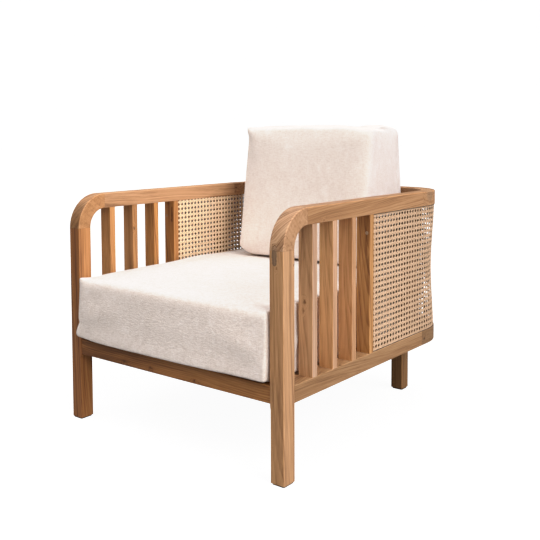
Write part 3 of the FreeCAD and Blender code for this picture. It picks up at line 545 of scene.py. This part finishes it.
def cane_finish(name, tone, stops=((0.44, 0.262, 0.143), (0.63, 0.415, 0.262), (0.78, 0.560, 0.390)), painted_corner_shade=1.0):
    """The last argument is painted shade: how much darker the cane is painted where it goes round the rear corners."""
    m = Mat(name)
    a, c, i = m.sep(m.attr("strand"))
    vec = m.comb(m.math("MULTIPLY_ADD", i, 40.0, m.math("MULTIPLY", a, 26.0)), m.math("MULTIPLY", c, 1500.0), m.math("MULTIPLY", i, 90.0))
    fib = m.noise(vec, 1.0, 3.0, 0.6)
    slow = m.noise(m.comb(m.math("MULTIPLY", a, 9.0), m.math("MULTIPLY", i, 70.0), 0.0), 1.0, 2.0, 0.5)
    node = m.span(m.noise(m.comb(m.math("MULTIPLY", a, 60.0), m.math("MULTIPLY", i, 130.0), 4.0), 1.0, 1.0, 0.5), 0.70, 0.80)
    val = m.math("ADD", m.math("MULTIPLY", fib, 0.45), m.math("MULTIPLY", slow, 0.35))
    val = m.math("ADD", val, m.math("MULTIPLY", i, 0.22))
    val = m.math("SUBTRACT", val, m.math("MULTIPLY", node, 0.16))
    col = m.ramp(val, [(at, tuple(x * t for x, t in zip(c, tone))) for at, c in zip((0.18, 0.45, 0.85), stops)])
    # painted shade: the cane is made darker towards the rear corners, the blue channel most
    if painted_corner_shade < 1.0:
        k = m.span(m.sep(m.coords())[1], ((585 if painted_corner_shade < 0.7 else 480) - Y_MID) * MM, (668 - Y_MID) * MM, 1.0, painted_corner_shade)
        col = m.vmath("MULTIPLY", col, m.comb(k, m.math("POWER", k, 1.0 + 0.9 * (1.0 - painted_corner_shade)), m.math("POWER", k, 1.0 + 2.0 * (1.0 - painted_corner_shade))))
    m.set("Base Color", col)
    m.set("Roughness", m.span(fib, 0.25, 0.75, 0.40, 0.58))
    m.set("Specular IOR Level", 0.45)
    m.bump(fib, 0.25, 0.0003)
    return m.m


def weave(tag, screen, node, facing, pitch, first, low, wide, slide=0.0, crowd=0.0):
    """Pairs of uprights and courses, plain woven, with a diagonal both ways across the holes."""
    amp = 0.36
    n_up = int(screen.half // pitch) + 1
    # a part of a hole lies at the cut edge of the left side, so the pairs start this far behind it
    starts = [-screen.half + first + pitch * k for k in range(2 * n_up + 2)]
    starts = [s for s in reversed(starts) if s < screen.half - 2.0]
    rows = [low + PITCH_Z * k for k in range(60)]
    rows = [z for z in rows if z < Z_HIGH - 1.0]
    ups, courses, cross_a, cross_b = [], [], [], []
    for i, s0 in enumerate(starts):
        for k in (0, 1):
            z, d = [Z_LOW], [0.0]
            for j, z0 in enumerate(rows):
                side = amp * facing * (1 if (i + j + k) % 2 == 0 else -1)
                for q in (-PAIR, PAIR):
                    if Z_LOW < z0 + q < Z_HIGH:
                        z.append(z0 + q)
                        d.append(side)
            z.append(Z_HIGH)
            d.append(0.0)
            ups.append((s0 + (PAIR if k else -PAIR), np.array(z), np.array(d)))
    for j, z0 in enumerate(rows):
        for k in (0, 1):
            s, d = [screen.half], [0.0]
            for i, s0 in enumerate(starts):
                for kk in (1, 0):
                    s.append(s0 + (PAIR if kk else -PAIR))
                    d.append(-amp * facing * (1 if (i + j + kk) % 2 == 0 else -1))
            s.append(-screen.half)
            d.append(0.0)
            courses.append((np.array(s), z0 + (PAIR if k else -PAIR), np.array(d)))
    # diagonals run through the middles between crossings
    s_ref, z_ref = starts[0], rows[0]
    n_c = len(starts) + len(rows) + 6
    for way, store in ((1, cross_a), (-1, cross_b)):
        for k in range(-n_c, n_c):
            s, z, d = [], [], []
            for q in range(-2, 2 * len(rows) + 4):
                zz = z_ref + PITCH_Z * (q / 2.0)
                ss = s_ref + pitch * (k + 0.5 + way * q / 2.0)
                if not (Z_LOW <= zz <= Z_HIGH):
                    continue
                if abs(ss) > screen.half:
                    continue
                s.append(ss)
                z.append(zz)
                # over the uprights, under the courses, or the other way round
                on_course = q % 2 == 0
                over = (not on_course) if way == 1 else on_course
                d.append(0.56 * facing * (1 if over else -1))
            if len(s) >= 2:
                store.append((np.array(s), np.array(z), np.array(d)))
    # the pairs drift a little along the back, so both sides start with their own part of a hole,
    # and crowd a little where the sheet is bent round the right rear corner
    bend = CX + screen.la - 75.0

    def drift(group):
        return [(s + slide * smooth01((s + CX) / (2 * CX)) + crowd * np.exp(-((s - bend) / 90.0) ** 2), z, d) for s, z, d in group]

    ups, courses, cross_a, cross_b = (drift(g) for g in (ups, courses, cross_a, cross_b))
    # painted light: the inner layer's cane is made about 1.4 times lighter than the outer, for the brighter light
    # inside the chair; both are painted darker round the rear corners, painted shade
    tone, painted_corner_shade = ((0.965, 0.965, 0.965), 0.86) if facing > 0 else ((1.38, 1.45, 1.43), 0.62)
    mats = [cane_finish(f"cane_{tag}_{n}", [t * k for t in tone], painted_corner_shade=painted_corner_shade) for n, k in (("upright", 1.0), ("course", 0.97), ("diagonal", 1.03))]
    ribbons(f"cane_{tag}_uprights", screen, ups, wide[0], STRAND_T, (mats[0], cane_pith), node, facing)
    ribbons(f"cane_{tag}_courses", screen, courses, wide[0], STRAND_T, (mats[1], cane_pith), node, facing)
    ribbons(f"cane_{tag}_diagonals_a", screen, cross_a, wide[1], 0.6, (mats[2], cane_pith), node, facing)
    ribbons(f"cane_{tag}_diagonals_b", screen, cross_b, wide[1], 0.6, (mats[2], cane_pith), node, facing)


# the strands' pith side is near-black: painted shade for the inside of the double screen
cane_pith = cane_finish("cane_pith", (1.0, 1.0, 1.0), ((0.036, 0.018, 0.008), (0.060, 0.030, 0.013), (0.095, 0.050, 0.022)))
weave("outer", Screen(3.05, 21.7), "cane_outer", 1, 14.848, 9.6, FIRST_ROW, (2.46, 2.15), crowd=3.7)
weave("inner", Screen(36.95, 11.0), "cane_inner", -1, 14.55, 12.2, FIRST_ROW - 3.6, (2.56, 2.3), 7.3)

# ---------------------------------------------------------------- cushions


def fabric(name, seed, front, side, top=(1.0, 1.0, 1.0), painted_light_slope=0.0, crinkled=1.0):
    """Cream chenille: a fine crinkled rib, short slubs both ways and a few paler places."""
    m = Mat(name)
    even = 0.5 + 0.5 * crinkled
    p = m.vmath("ADD", m.coords(), (seed, seed * 0.3, 0.0))
    big = m.noise(m.vmath("MULTIPLY", p, (7.0, 7.0, 6.0)), 1.0, 2.0, 0.5)
    nap = m.noise(m.vmath("MULTIPLY", p, (60.0, 60.0, 26.0)), 1.0, 3.0, 0.6)
    pale = m.span(m.noise(m.vmath("ADD", p, (4.1, 0.0, 1.7)), 24.0, 2.0, 0.5), 0.60, 0.72)
    slub = m.noise(m.vmath("MULTIPLY", p, (420.0, 420.0, 90.0)), 1.0, 2.0, 0.6)
    slub2 = m.noise(m.vmath("MULTIPLY", p, (85.0, 300.0, 400.0)), 1.0, 2.0, 0.6)
    crinkle = m.noise(m.vmath("MULTIPLY", p, (120.0, 150.0, 190.0)), 1.0, 2.0, 0.55)
    x, y, z = m.sep(p)
    warp = m.math("SINE", m.math("MULTIPLY", m.math("ADD", m.math("ADD", x, m.math("MULTIPLY", y, 0.77)), m.math("MULTIPLY", slub2, 0.0012)), 2 * math.pi / 0.0022))
    weft = m.math("SINE", m.math("MULTIPLY", m.math("ADD", m.math("ADD", z, m.math("MULTIPLY", y, 0.64)), m.math("MULTIPLY", slub, 0.0012)), 2 * math.pi / 0.0024))
    rib = m.math("MULTIPLY", warp, weft)
    fuzz = m.noise(p, 1500.0, 2.0, 0.7)
    val = m.math("MULTIPLY_ADD", m.math("SUBTRACT", big, 0.5), 0.30, 0.5)
    val = m.math("ADD", val, m.math("MULTIPLY", m.math("SUBTRACT", nap, 0.5), 0.50 * even))
    val = m.math("ADD", val, m.math("MULTIPLY", m.math("SUBTRACT", slub, 0.5), 0.70 * even))
    val = m.math("ADD", val, m.math("MULTIPLY", m.math("SUBTRACT", slub2, 0.5), 0.85 * even))
    val = m.math("ADD", val, m.math("MULTIPLY", m.math("SUBTRACT", crinkle, 0.5), 0.52 * crinkled))
    val = m.math("ADD", val, m.math("MULTIPLY", pale, 0.13))
    val = m.math("ADD", val, m.math("MULTIPLY", rib, 0.06))
    col = m.ramp(val, [(0.05, (0.640, 0.530, 0.455)), (0.50, (0.785, 0.680, 0.610)), (0.95, (0.880, 0.800, 0.745))])
    # painted light and shade: the front, side and top panels are made a little lighter or darker by which way they face
    geo = m.t.nodes.new("ShaderNodeNewGeometry")
    nx, ny, nz = m.sep(geo.outputs["Normal"])
    panel_shade_masks = (m.span(m.math("MULTIPLY", ny, -1.0), 0.35, 0.9), m.span(m.math("ABSOLUTE", nx), 0.35, 0.9), m.span(nz, 0.35, 0.95))
    for mask, gain in zip(panel_shade_masks, (front, side, top)):
        col = m.vmath("MULTIPLY", col, m.comb(*(m.math("MULTIPLY_ADD", mask, c - 1.0, 1.0) for c in gain)))
    # painted light: the front panel is made lighter towards the right
    if painted_light_slope:
        k = m.math("MULTIPLY_ADD", m.math("MULTIPLY", panel_shade_masks[0], m.sep(m.coords())[0]), painted_light_slope, 1.0)
        col = m.vmath("MULTIPLY", col, m.comb(k, k, k))
    m.set("Base Color", col)
    m.set("Roughness", m.span(nap, 0.3, 0.7, 0.86, 0.98))
    m.set("Specular IOR Level", 0.15)
    m.set("Sheen Weight", 0.22)
    m.set("Sheen Roughness", 0.5)
    m.set("Sheen Tint", (1.0, 0.96, 0.92, 1.0))
    h = m.math("ADD", m.math("MULTIPLY", rib, 0.25), m.math("MULTIPLY", slub, 0.7))
    h = m.math("ADD", h, m.math("MULTIPLY", slub2, 0.6))
    h = m.math("ADD", h, m.math("MULTIPLY", crinkle, 1.3))
    h = m.math("ADD", h, m.math("MULTIPLY", fuzz, 0.5))
    m.bump(h, 0.60 * crinkled, 0.0016)
    return m.m


def co_of(me):
    a = np.zeros(len(me.vertices) * 3, np.float32)
    me.vertices.foreach_get("co", a)
    return a.reshape(-1, 3).astype(float)


def put_co(me, co):
    me.vertices.foreach_set("co", co.astype(np.float32).ravel())
    me.update()


def evaluated(ob):
    dg = bpy.context.evaluated_depsgraph_get()
    return bpy.data.meshes.new_from_object(ob.evaluated_get(dg))


def relax(me, times, k=0.5, keep=None):
    """Even out the surface by moving each point towards its neighbours."""
    e = np.zeros(len(me.edges) * 2, np.int32)
    me.edges.foreach_get("vertices", e)
    e = e.reshape(-1, 2)
    co = co_of(me)
    n = np.bincount(e.ravel(), minlength=len(co)).astype(float)[:, None]
    for _ in range(times):
        acc = np.zeros_like(co)
        np.add.at(acc, e[:, 0], co[e[:, 1]])
        np.add.at(acc, e[:, 1], co[e[:, 0]])
        step = k * (acc / np.maximum(n, 1) - co)
        if keep is not None:
            step *= keep(co)[:, None]
        co = co + step
    put_co(me, co)


def lumps(co, scale, seed, count=26):
    """Soft uneven swell: a sum of seeded plane waves, about -1 to 1."""
    rng = np.random.default_rng(seed)
    out = np.zeros(len(co))
    for _ in range(count):
        k = rng.normal(size=3)
        k *= rng.uniform(0.6, 1.5) / np.linalg.norm(k)
        out += np.sin(co @ k * (2 * math.pi / scale) + rng.uniform(0, 2 * math.pi))
    return out / math.sqrt(count / 2) / 1.6


def cushion(name, node, voxel, smooth_times, pressure, cap, frames=20, first=None):
    """A stuffed cover: the solid's mesh, remeshed, blown up as cloth and held to a small swell."""
    src = NODES[node].data.copy()
    ob = bpy.data.objects.new(name + "_work", src)
    SCENE.collection.objects.link(ob)
    mod = ob.modifiers.new("grid", "REMESH")
    mod.mode = "VOXEL"
    mod.voxel_size = voxel
    me = evaluated(ob)
    ob.modifiers.clear()
    ob.data = me
    me.materials.clear()
    relax(me, smooth_times)
    if first is not None:
        put_co(me, first(co_of(me)))
    base = co_of(me)
    mod = ob.modifiers.new("cloth", "CLOTH")
    st = mod.settings
    st.quality = 5
    st.mass = 0.3
    st.tension_stiffness = st.compression_stiffness = 12.0
    st.shear_stiffness = 6.0
    st.bending_stiffness = 0.6
    st.use_pressure = True
    st.uniform_pressure_force = pressure
    st.effector_weights.gravity = 0.0
    mod.collision_settings.use_collision = False
    for f in range(1, frames + 1):
        SCENE.frame_set(f)
    blown = co_of(evaluated(ob))
    ob.modifiers.clear()
    d = blown - base
    ln = np.linalg.norm(d, axis=1, keepdims=True)
    d *= cap * np.tanh(ln / cap) / np.maximum(ln, 1e-9)
    put_co(me, base + d)
    SCENE.frame_set(1)
    sub = ob.modifiers.new("finer", "SUBSURF")
    sub.levels = sub.render_levels = 1
    fine = evaluated(ob)
    ob.modifiers.clear()
    ob.data = fine
    ob.name = name
    fine.name = name
    fine.polygons.foreach_set("use_smooth", [True] * len(fine.polygons))
    return ob


def to_mm(co):
    return co[:, 0] / MM, co[:, 1] / MM + Y_MID, co[:, 2] / MM


def from_mm(x, y, z):
    return np.stack([x * MM, (y - Y_MID) * MM, z * MM], -1)


def soft_min(v, top, k=2.5):
    """v, eased so that it never passes top."""
    return np.where(v > top - k, top - k + k * np.tanh((v - (top - k)) / k), v)


def soft_max(v, low, k=2.5):
    return -soft_min(-v, -low, k)


def bump_at(x, y, z, c, r):
    d = np.sqrt(((x - c[0]) / r[0]) ** 2 + ((y - c[1]) / r[1]) ** 2 + ((z - c[2]) / r[2]) ** 2)
    return np.exp(-d * d)


def close_up(d, g, low=0.2, reach=40.0):
    """Distance to a face of the cover, drawn in towards it by the share g, most for short distances."""
    return d * (1.0 - g * (1.0 - low) * (1.0 - smooth01(d / reach)))


def by_edge(d, reach=60.0):
    """1 next to a face, 0 from some way off."""
    return 1.0 - smooth01((d - 4.0) / (reach - 4.0))


most = np.maximum.reduce
SEAT_X, SEAT_LOW, SEAT_TOP, SEAT_REAR = 325.5, 219.0, 391.0, 777.0


def seat_front(z):
    return -24.0 + 14.0 * (z - SEAT_LOW) / (SEAT_TOP - SEAT_LOW)


def seat_cut(co):
    """The cover is cut square: its upright edges are tight, the upper front edge is a soft roll."""
    x, y, z = to_mm(co)
    d_side, d_front, d_rear = SEAT_X - np.abs(x), y - seat_front(z), SEAT_REAR - y
    d_top, d_low = SEAT_TOP - z, z - SEAT_LOW
    d_side2 = close_up(d_side, most([by_edge(d_front), by_edge(d_rear), 0.7 * by_edge(d_top), 0.5 * by_edge(d_low)]))
    d_front2 = close_up(d_front, most([by_edge(d_side), 0.25 * by_edge(d_top), 0.75 * by_edge(d_low)]))
    d_top2 = close_up(d_top, most([0.8 * by_edge(d_side), 0.3 * by_edge(d_front), 0.5 * by_edge(d_rear)]), 0.3)
    d_low2 = close_up(d_low, most([0.5 * by_edge(d_side), 0.75 * by_edge(d_front), 0.5 * by_edge(d_rear)]), 0.2)
    nz = np.where(d_top < d_low, SEAT_TOP - d_top2, SEAT_LOW + d_low2)
    ny = np.where(y < 300, y - (d_front - d_front2), y)
    return from_mm(np.sign(x) * (SEAT_X - d_side2), ny, nz)


seat = cushion("seat_cushion_soft", "seat_cushion_foam", 0.0080, 2, 4.0, 0.0055, first=seat_cut)


def seat_roll(co):
    """Where the filling rounds the cover: the upper front edge, and weakly the front panel."""
    x, y, z = to_mm(co)
    inside = smooth01((316 - np.abs(x)) / 26)
    roll = smooth01((80 - y) / 45) * smooth01((z - 315) / 40)
    panel = smooth01((45 - y) / 30) * smooth01((z - 230) / 22)
    return inside * np.maximum(roll, 0.7 * panel)


relax(seat.data, 70, 0.5, keep=seat_roll)
x, y, z = to_mm(co_of(seat.data))
c_in = co_of(seat.data)
swell = lumps(c_in, 0.22, 11) * 0.7 + lumps(c_in, 0.09, 12) * 0.12
z = z + smooth01((z - 360) / 25) * swell
y = y - smooth01((30 - y) / 30) * (swell * 0.45 + 2.0)
# a small ear at the upper left front corner with a slight dip beside it; the right one is rounder
e = bump_at(x, y, z, (-320, -6, 389), (15, 18, 13))
x, y, z = x - 2.4 * e, y - 2.6 * e, z + 4.0 * e
e = bump_at(x, y, z, (-284, -2, 390), (24, 26, 14))
z = z - 1.2 * e
e = bump_at(x, y, z, (324, -8, 390), (26, 22, 24))
x, y, z = x - 1.5 * e, y + 3.0 * e, z - 5.0 * e
# the left front edge: puckered low down, flared and lifted at the bottom corner
e = bump_at(x, y, z, (-322, -16, 272), (18, 20, 8))
x, y = x + 3.4 * e, y + 1.5 * e
e = bump_at(x, y, z, (-322, -20, 238), (18, 20, 20))
x, y = x - 3.4 * e, y - 2.5 * e
# the filling lifts the lower front edge and the left upper edge a little, and fills out the right front edge
z = z + 4.0 * smooth01((20 - y) / 20) * smooth01((264 - z) / 30)
e = smooth01((-282 - x) / 30) * smooth01((z - 358) / 22) * smooth01((y - 40) / 60)
z = z + e * (2.5 + 4.0 * np.exp(-((y - 430) / 95) ** 2))
x = x + 4.0 * smooth01((x - 250) / 75) * smooth01((2 - y) / 14)
z = soft_max(z, 220.5, 3.0)
e = bump_at(x, y, z, (-322, -22, 221), (55, 26, 22))
z = z + 9.0 * e
e = bump_at(x, y, z, (322, -22, 221), (170, 24, 22))
z = z + 6.0 * e
# two short creases in the front panel
for cx, cz, deep in ((-70, 246, 1.3), (-96, 252, 0.8)):
    t = (x - cx) * 0.62 + (z - cz) * 0.78
    n = -(x - cx) * 0.78 + (z - cz) * 0.62
    y = y + deep * np.exp(-(t / 26.0) ** 2 - (n / 7.0) ** 2) * (y < 5)
crown = 400.0 - 8.4 * smooth01((y - 470) / 75) * smooth01((300 - np.abs(x)) / 60)
z = np.where(z > 300, soft_min(z, crown, 4.0), z)
lim = 323.9 + np.where(x > 0, 6.6, 4.1) * smooth01((-1.5 - y) / 4.0)
x = np.sign(x) * soft_min(np.abs(x), lim, 2.0)
y = soft_min(y, 776.5, 3.0)
y = soft_max(y, -28.0, 3.0)
put_co(seat.data, from_mm(x, y, z))
# painted light: the seat's front and top panels are made a little lighter, and its front lighter towards the right
seat.data.materials.append(fabric("cushion_fabric_seat", 0.0, (1.022, 1.02, 1.03), (1.0, 1.0, 1.0), (0.995, 1.03, 1.075), 0.36))
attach(seat, "seat_cushion")
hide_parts("seat_cushion_cover", "seat_cushion_foam")


LEFT_X, RIGHT_X, BACK_TOP, BACK_LOW = -240.0, 234.0, 800.0, 391.6


def back_front(z):
    return 550.0 + 55.0 * (z - BACK_LOW) / 395.4


def back_cut(co):
    """Lower corners well rounded as seen from the front; tight upright edge on the left, softer on the right."""
    x, y, z = to_mm(co)
    r = np.where(x < 0, 60.0, 46.0)
    a = np.maximum(np.abs(x) - (231.0 - r), 0) / r
    b = np.maximum((393.6 + r) - z, 0) / r
    rho = np.sqrt(a * a + b * b)
    k = np.where((rho > 1.0) & (a > 0) & (b > 0), 1.0 / np.maximum(rho, 1e-6), 1.0)
    x, z = (np.where(k < 1, np.sign(x) * ((231.0 - r) + a * k * r), x), np.where(k < 1, (393.6 + r) - b * k * r, z))
    x = np.where(x < 0, x * (-LEFT_X - 2.0) / 231.5, x)
    z = np.where(z > 450, 450 + (z - 450) * (BACK_TOP - 2.0 - 450) / (785.5 - 450), z)
    d_left, d_right, d_top, d_low, d_front = x - LEFT_X, RIGHT_X - x, BACK_TOP - z, z - BACK_LOW, y - back_front(z)
    d_left2 = close_up(d_left, most([by_edge(d_front), by_edge(d_top)]), 0.15)
    d_right2 = close_up(d_right, most([0.5 * by_edge(d_front), 0.4 * by_edge(d_top)]))
    d_front2 = close_up(d_front, most([by_edge(d_left), 0.5 * by_edge(d_right), 0.6 * by_edge(d_top), 0.95 * by_edge(d_low)]))
    d_top2 = close_up(d_top, most([0.6 * by_edge(d_front), by_edge(d_left), 0.6 * by_edge(d_right)]), 0.15)
    x = np.where(x < 0, LEFT_X + d_left2, RIGHT_X - d_right2)
    z = np.where(z > 600, BACK_TOP - d_top2, z)
    return from_mm(x, np.where(y < 680, y - (d_front - d_front2), y), z)


back = cushion("back_cushion_soft", "back_cushion_foam", 0.0062, 2, 4.0, 0.0055, first=back_cut)


def back_roll(co):
    x, y, z = to_mm(co)
    front = smooth01((45 - (y - back_front(z))) / 30) * smooth01((z - 405) / 25) * smooth01((x + 232) / 26)
    return front * np.where(x > 150, 1.0, 0.7) * np.where(z > 770, 0.6, 1.0)


relax(back.data, 60, 0.5, keep=back_roll)


def back_right(co):
    """The upright front edge on the right is a broad soft roll."""
    x, y, z = to_mm(co)
    return smooth01((x - 170) / 36) * smooth01((82 - (y - back_front(z))) / 45) * smooth01((z - 412) / 25) * smooth01((799 - z) / 22)


relax(back.data, 130, 0.5, keep=back_right)
x, y, z = to_mm(co_of(back.data))
cob = co_of(back.data)
swell = lumps(cob, 0.21, 21) * 0.8 + lumps(cob, 0.08, 22) * 0.12
y = y - smooth01((690 - y) / 40) * (swell + 1.5)
z = z + smooth01((z - 765) / 25) * lumps(cob, 0.11, 23) * 0.8
# sewn corners: a small ear at the upper left with a dent below it, a pinched fold at the upper right
for at, size, push in (((-236, 610, 788), (14, 26, 15), (-4.2, -1.5, 2.0)),
                       ((-236, 606, 752), (20, 34, 16), (0.6, 0.0, 0.0)),
                       ((-15, 620, 797), (42, 60, 20), (0.0, 0.0, 4.0)),
                       ((105, 610, 797), (35, 24, 20), (0.0, 0.0, 4.0)),
                       ((122, 690, 800), (60, 62, 25), (0.0, 0.0, -7.0)),
                       ((190, 616, 796), (19, 34, 16), (0.0, 1.0, -4.0)),
                       ((216, 626, 796), (6, 6, 10), (0.0, 2.0, -7.0)),
                       ((224, 642, 798), (6, 7, 10), (-1.0, 0.0, -7.0)),
                       ((232, 652, 792), (16, 40, 18), (1.0, -1.0, 5.0)),
                       ((234, 764, 796), (22, 40, 26), (-4.0, -8.0, -8.0)),
                       ((230, 616, 794), (15, 12, 5), (-4.0, 0.0, -1.5)),
                       ((230, 632, 791), (15, 12, 5), (-9.0, 0.0, -3.0)),
                       ((230, 650, 788.5), (15, 13, 5), (-7.0, 0.0, -2.5)),
                       ((230, 668, 786), (15, 12, 5), (-3.0, 0.0, -1.0))):
    e = bump_at(x, y, z, at, size)
    x, y, z = x + push[0] * e, y + push[1] * e, z + push[2] * e
# the lower front edge rolls up off the seat
z = z + 4.0 * smooth01((9 - (y - back_front(z))) / 9) * smooth01((446 - z) / 54)
z = soft_max(z, 391.9, 3.0)
z = soft_min(z, 801.0, 4.0)
y = soft_min(y, 783.5, 2.0)
put_co(back.data, from_mm(x, y, z))
# painted light and shade: the back cushion's front is made lighter and its sides darker
back.data.materials.append(fabric("cushion_fabric_back", 3.0, (1.065, 1.088, 1.112), (0.805, 0.82, 0.872), crinkled=0.48))
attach(back, "back_cushion")
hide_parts("back_cushion_cover", "back_cushion_foam")

# ---------------------------------------------------------------- stage, light, camera


def make_floor():
    me = bpy.data.meshes.new("floor")
    n, size = 24, 60.0
    v = [((i / n - 0.5) * size, (j / n - 0.5) * size, 0.0) for j in range(n + 1) for i in range(n + 1)]
    f = [(j * (n + 1) + i, j * (n + 1) + i + 1, (j + 1) * (n + 1) + i + 1, (j + 1) * (n + 1) + i) for j in range(n) for i in range(n)]
    me.from_pydata(v, [], f)
    ob = bpy.data.objects.new("floor", me)
    SCENE.collection.objects.link(ob)
    m = Mat("pale_floor")
    d = m.noise(m.coords(), 3.0, 3.0, 0.6)
    m.set("Base Color", m.mix(d, (0.24, 0.238, 0.235), (0.27, 0.268, 0.265)))
    m.set("Roughness", 0.85)
    m.set("Specular IOR Level", 0.1)
    # the lens sees a bright sweep with a faint shadow; the chair itself gets only a weak glow from below
    nodes, links = m.t.nodes, m.t.links
    glow, pale, both, pick = (nodes.new("ShaderNode" + k) for k in ("Emission", "BsdfDiffuse", "AddShader", "MixShader"))
    glow.inputs[1].default_value = 1.06
    pale.inputs[0].default_value = (0.15, 0.15, 0.15, 1.0)
    links.new(glow.outputs[0], both.inputs[0])
    links.new(pale.outputs[0], both.inputs[1])
    links.new(nodes.new("ShaderNodeLightPath").outputs["Is Camera Ray"], pick.inputs[0])
    links.new(m.bsdf.outputs[0], pick.inputs[1])
    links.new(both.outputs[0], pick.inputs[2])
    links.new(pick.outputs[0], m.out.inputs[0])
    me.materials.append(m.m)


make_floor()


def area(name, at, aim, size, power, col=(1, 1, 1)):
    li = bpy.data.lights.new(name, "AREA")
    li.shape = "RECTANGLE"
    li.size, li.size_y = size
    li.energy = power
    li.color = col
    ob = bpy.data.objects.new(name, li)
    ob.location = at
    ob.rotation_mode = "QUATERNION"
    ob.rotation_quaternion = (Vector(aim) - Vector(at)).to_track_quat("-Z", "Y")
    SCENE.collection.objects.link(ob)
    return ob


def sun(name, direction, strength, angle, col=(1, 1, 1)):
    li = bpy.data.lights.new(name, "SUN")
    li.energy = strength
    li.angle = math.radians(angle)
    li.color = col
    ob = bpy.data.objects.new(name, li)
    ob.rotation_mode = "QUATERNION"
    ob.rotation_quaternion = Vector(direction).to_track_quat("-Z", "Y")
    SCENE.collection.objects.link(ob)
    return ob


def way(azimuth, elevation):
    """Direction in which light travels that comes from this azimuth and elevation."""
    a, e = math.radians(azimuth), math.radians(elevation)
    return (-math.cos(e) * math.cos(a), -math.cos(e) * math.sin(a), -math.sin(e))


# a broad soft light from the chair's right, one from above the front, and a weak one from behind on the left
sun("right_light", way(0, 32), 1.17 * math.pi, 55)
sun("front_top_light", way(270, 62), 0.65 * math.pi, 60)
sun("rear_fill", way(168, 40), 0.40 * math.pi, 80)

world = bpy.data.worlds.new("studio")
SCENE.world = world
world.use_nodes = True
wt = world.node_tree
wt.nodes.clear()
wo = wt.nodes.new("ShaderNodeOutputWorld")
bg_seen = wt.nodes.new("ShaderNodeBackground")
bg_seen.inputs[0].default_value = (1, 1, 1, 1)
bg_seen.inputs[1].default_value = 1.21
bg_lit = wt.nodes.new("ShaderNodeBackground")
bg_lit.inputs[0].default_value = (1.0, 0.985, 0.965, 1)
bg_lit.inputs[1].default_value = 0.10
path = wt.nodes.new("ShaderNodeLightPath")
mixer = wt.nodes.new("ShaderNodeMixShader")
wt.links.new(path.outputs["Is Camera Ray"], mixer.inputs[0])
wt.links.new(bg_lit.outputs[0], mixer.inputs[1])
wt.links.new(bg_seen.outputs[0], mixer.inputs[2])
wt.links.new(mixer.outputs[0], wo.inputs[0])

SCENE.view_settings.view_transform = "Standard"
SCENE.view_settings.look = "None"
WHITE = 1.2
SCENE.view_settings.use_curve_mapping = True
cm = SCENE.view_settings.curve_mapping
cm.white_level = (WHITE, WHITE, WHITE)
knots = [(0.0, 0.0), (0.10, 0.097), (0.25, 0.25), (0.45, 0.46), (0.60, 0.625), (0.70, 0.74), (0.78, 0.822), (0.86, 0.88), (0.95, 0.918),
         (1.07, 0.957), (1.20, 1.0)]
curve = cm.curves[3]
for x, y in knots[1:-1]:
    curve.points.new(x / WHITE, y)
curve.points[0].location = (0.0, 0.0)
curve.points[-1].location = (1.0, 1.0)
cm.update()

cam_data = bpy.data.cameras.new("camera")
cam_data.sensor_width = 36.0
cam_data.sensor_fit = "HORIZONTAL"
cam_data.lens = 794.78 / 540.0 * 36.0
cam_data.shift_x = -0.00096
cam_data.shift_y = -0.165
cam = bpy.data.objects.new("camera", cam_data)
SCENE.collection.objects.link(cam)
right, up, ahead = Vector((0.786083, 0.61811, -0.003565)), Vector((-0.034817, 0.050036, 0.99814)), Vector((-0.617139, 0.784498, -0.060853))
m4 = Matrix.Identity(4)
for r in range(3):
    m4[r][0], m4[r][1], m4[r][2] = right[r], up[r], -ahead[r]
m4.translation = P(1391.54, -1349.19, 778.57)
cam.matrix_world = m4
SCENE.camera = cam
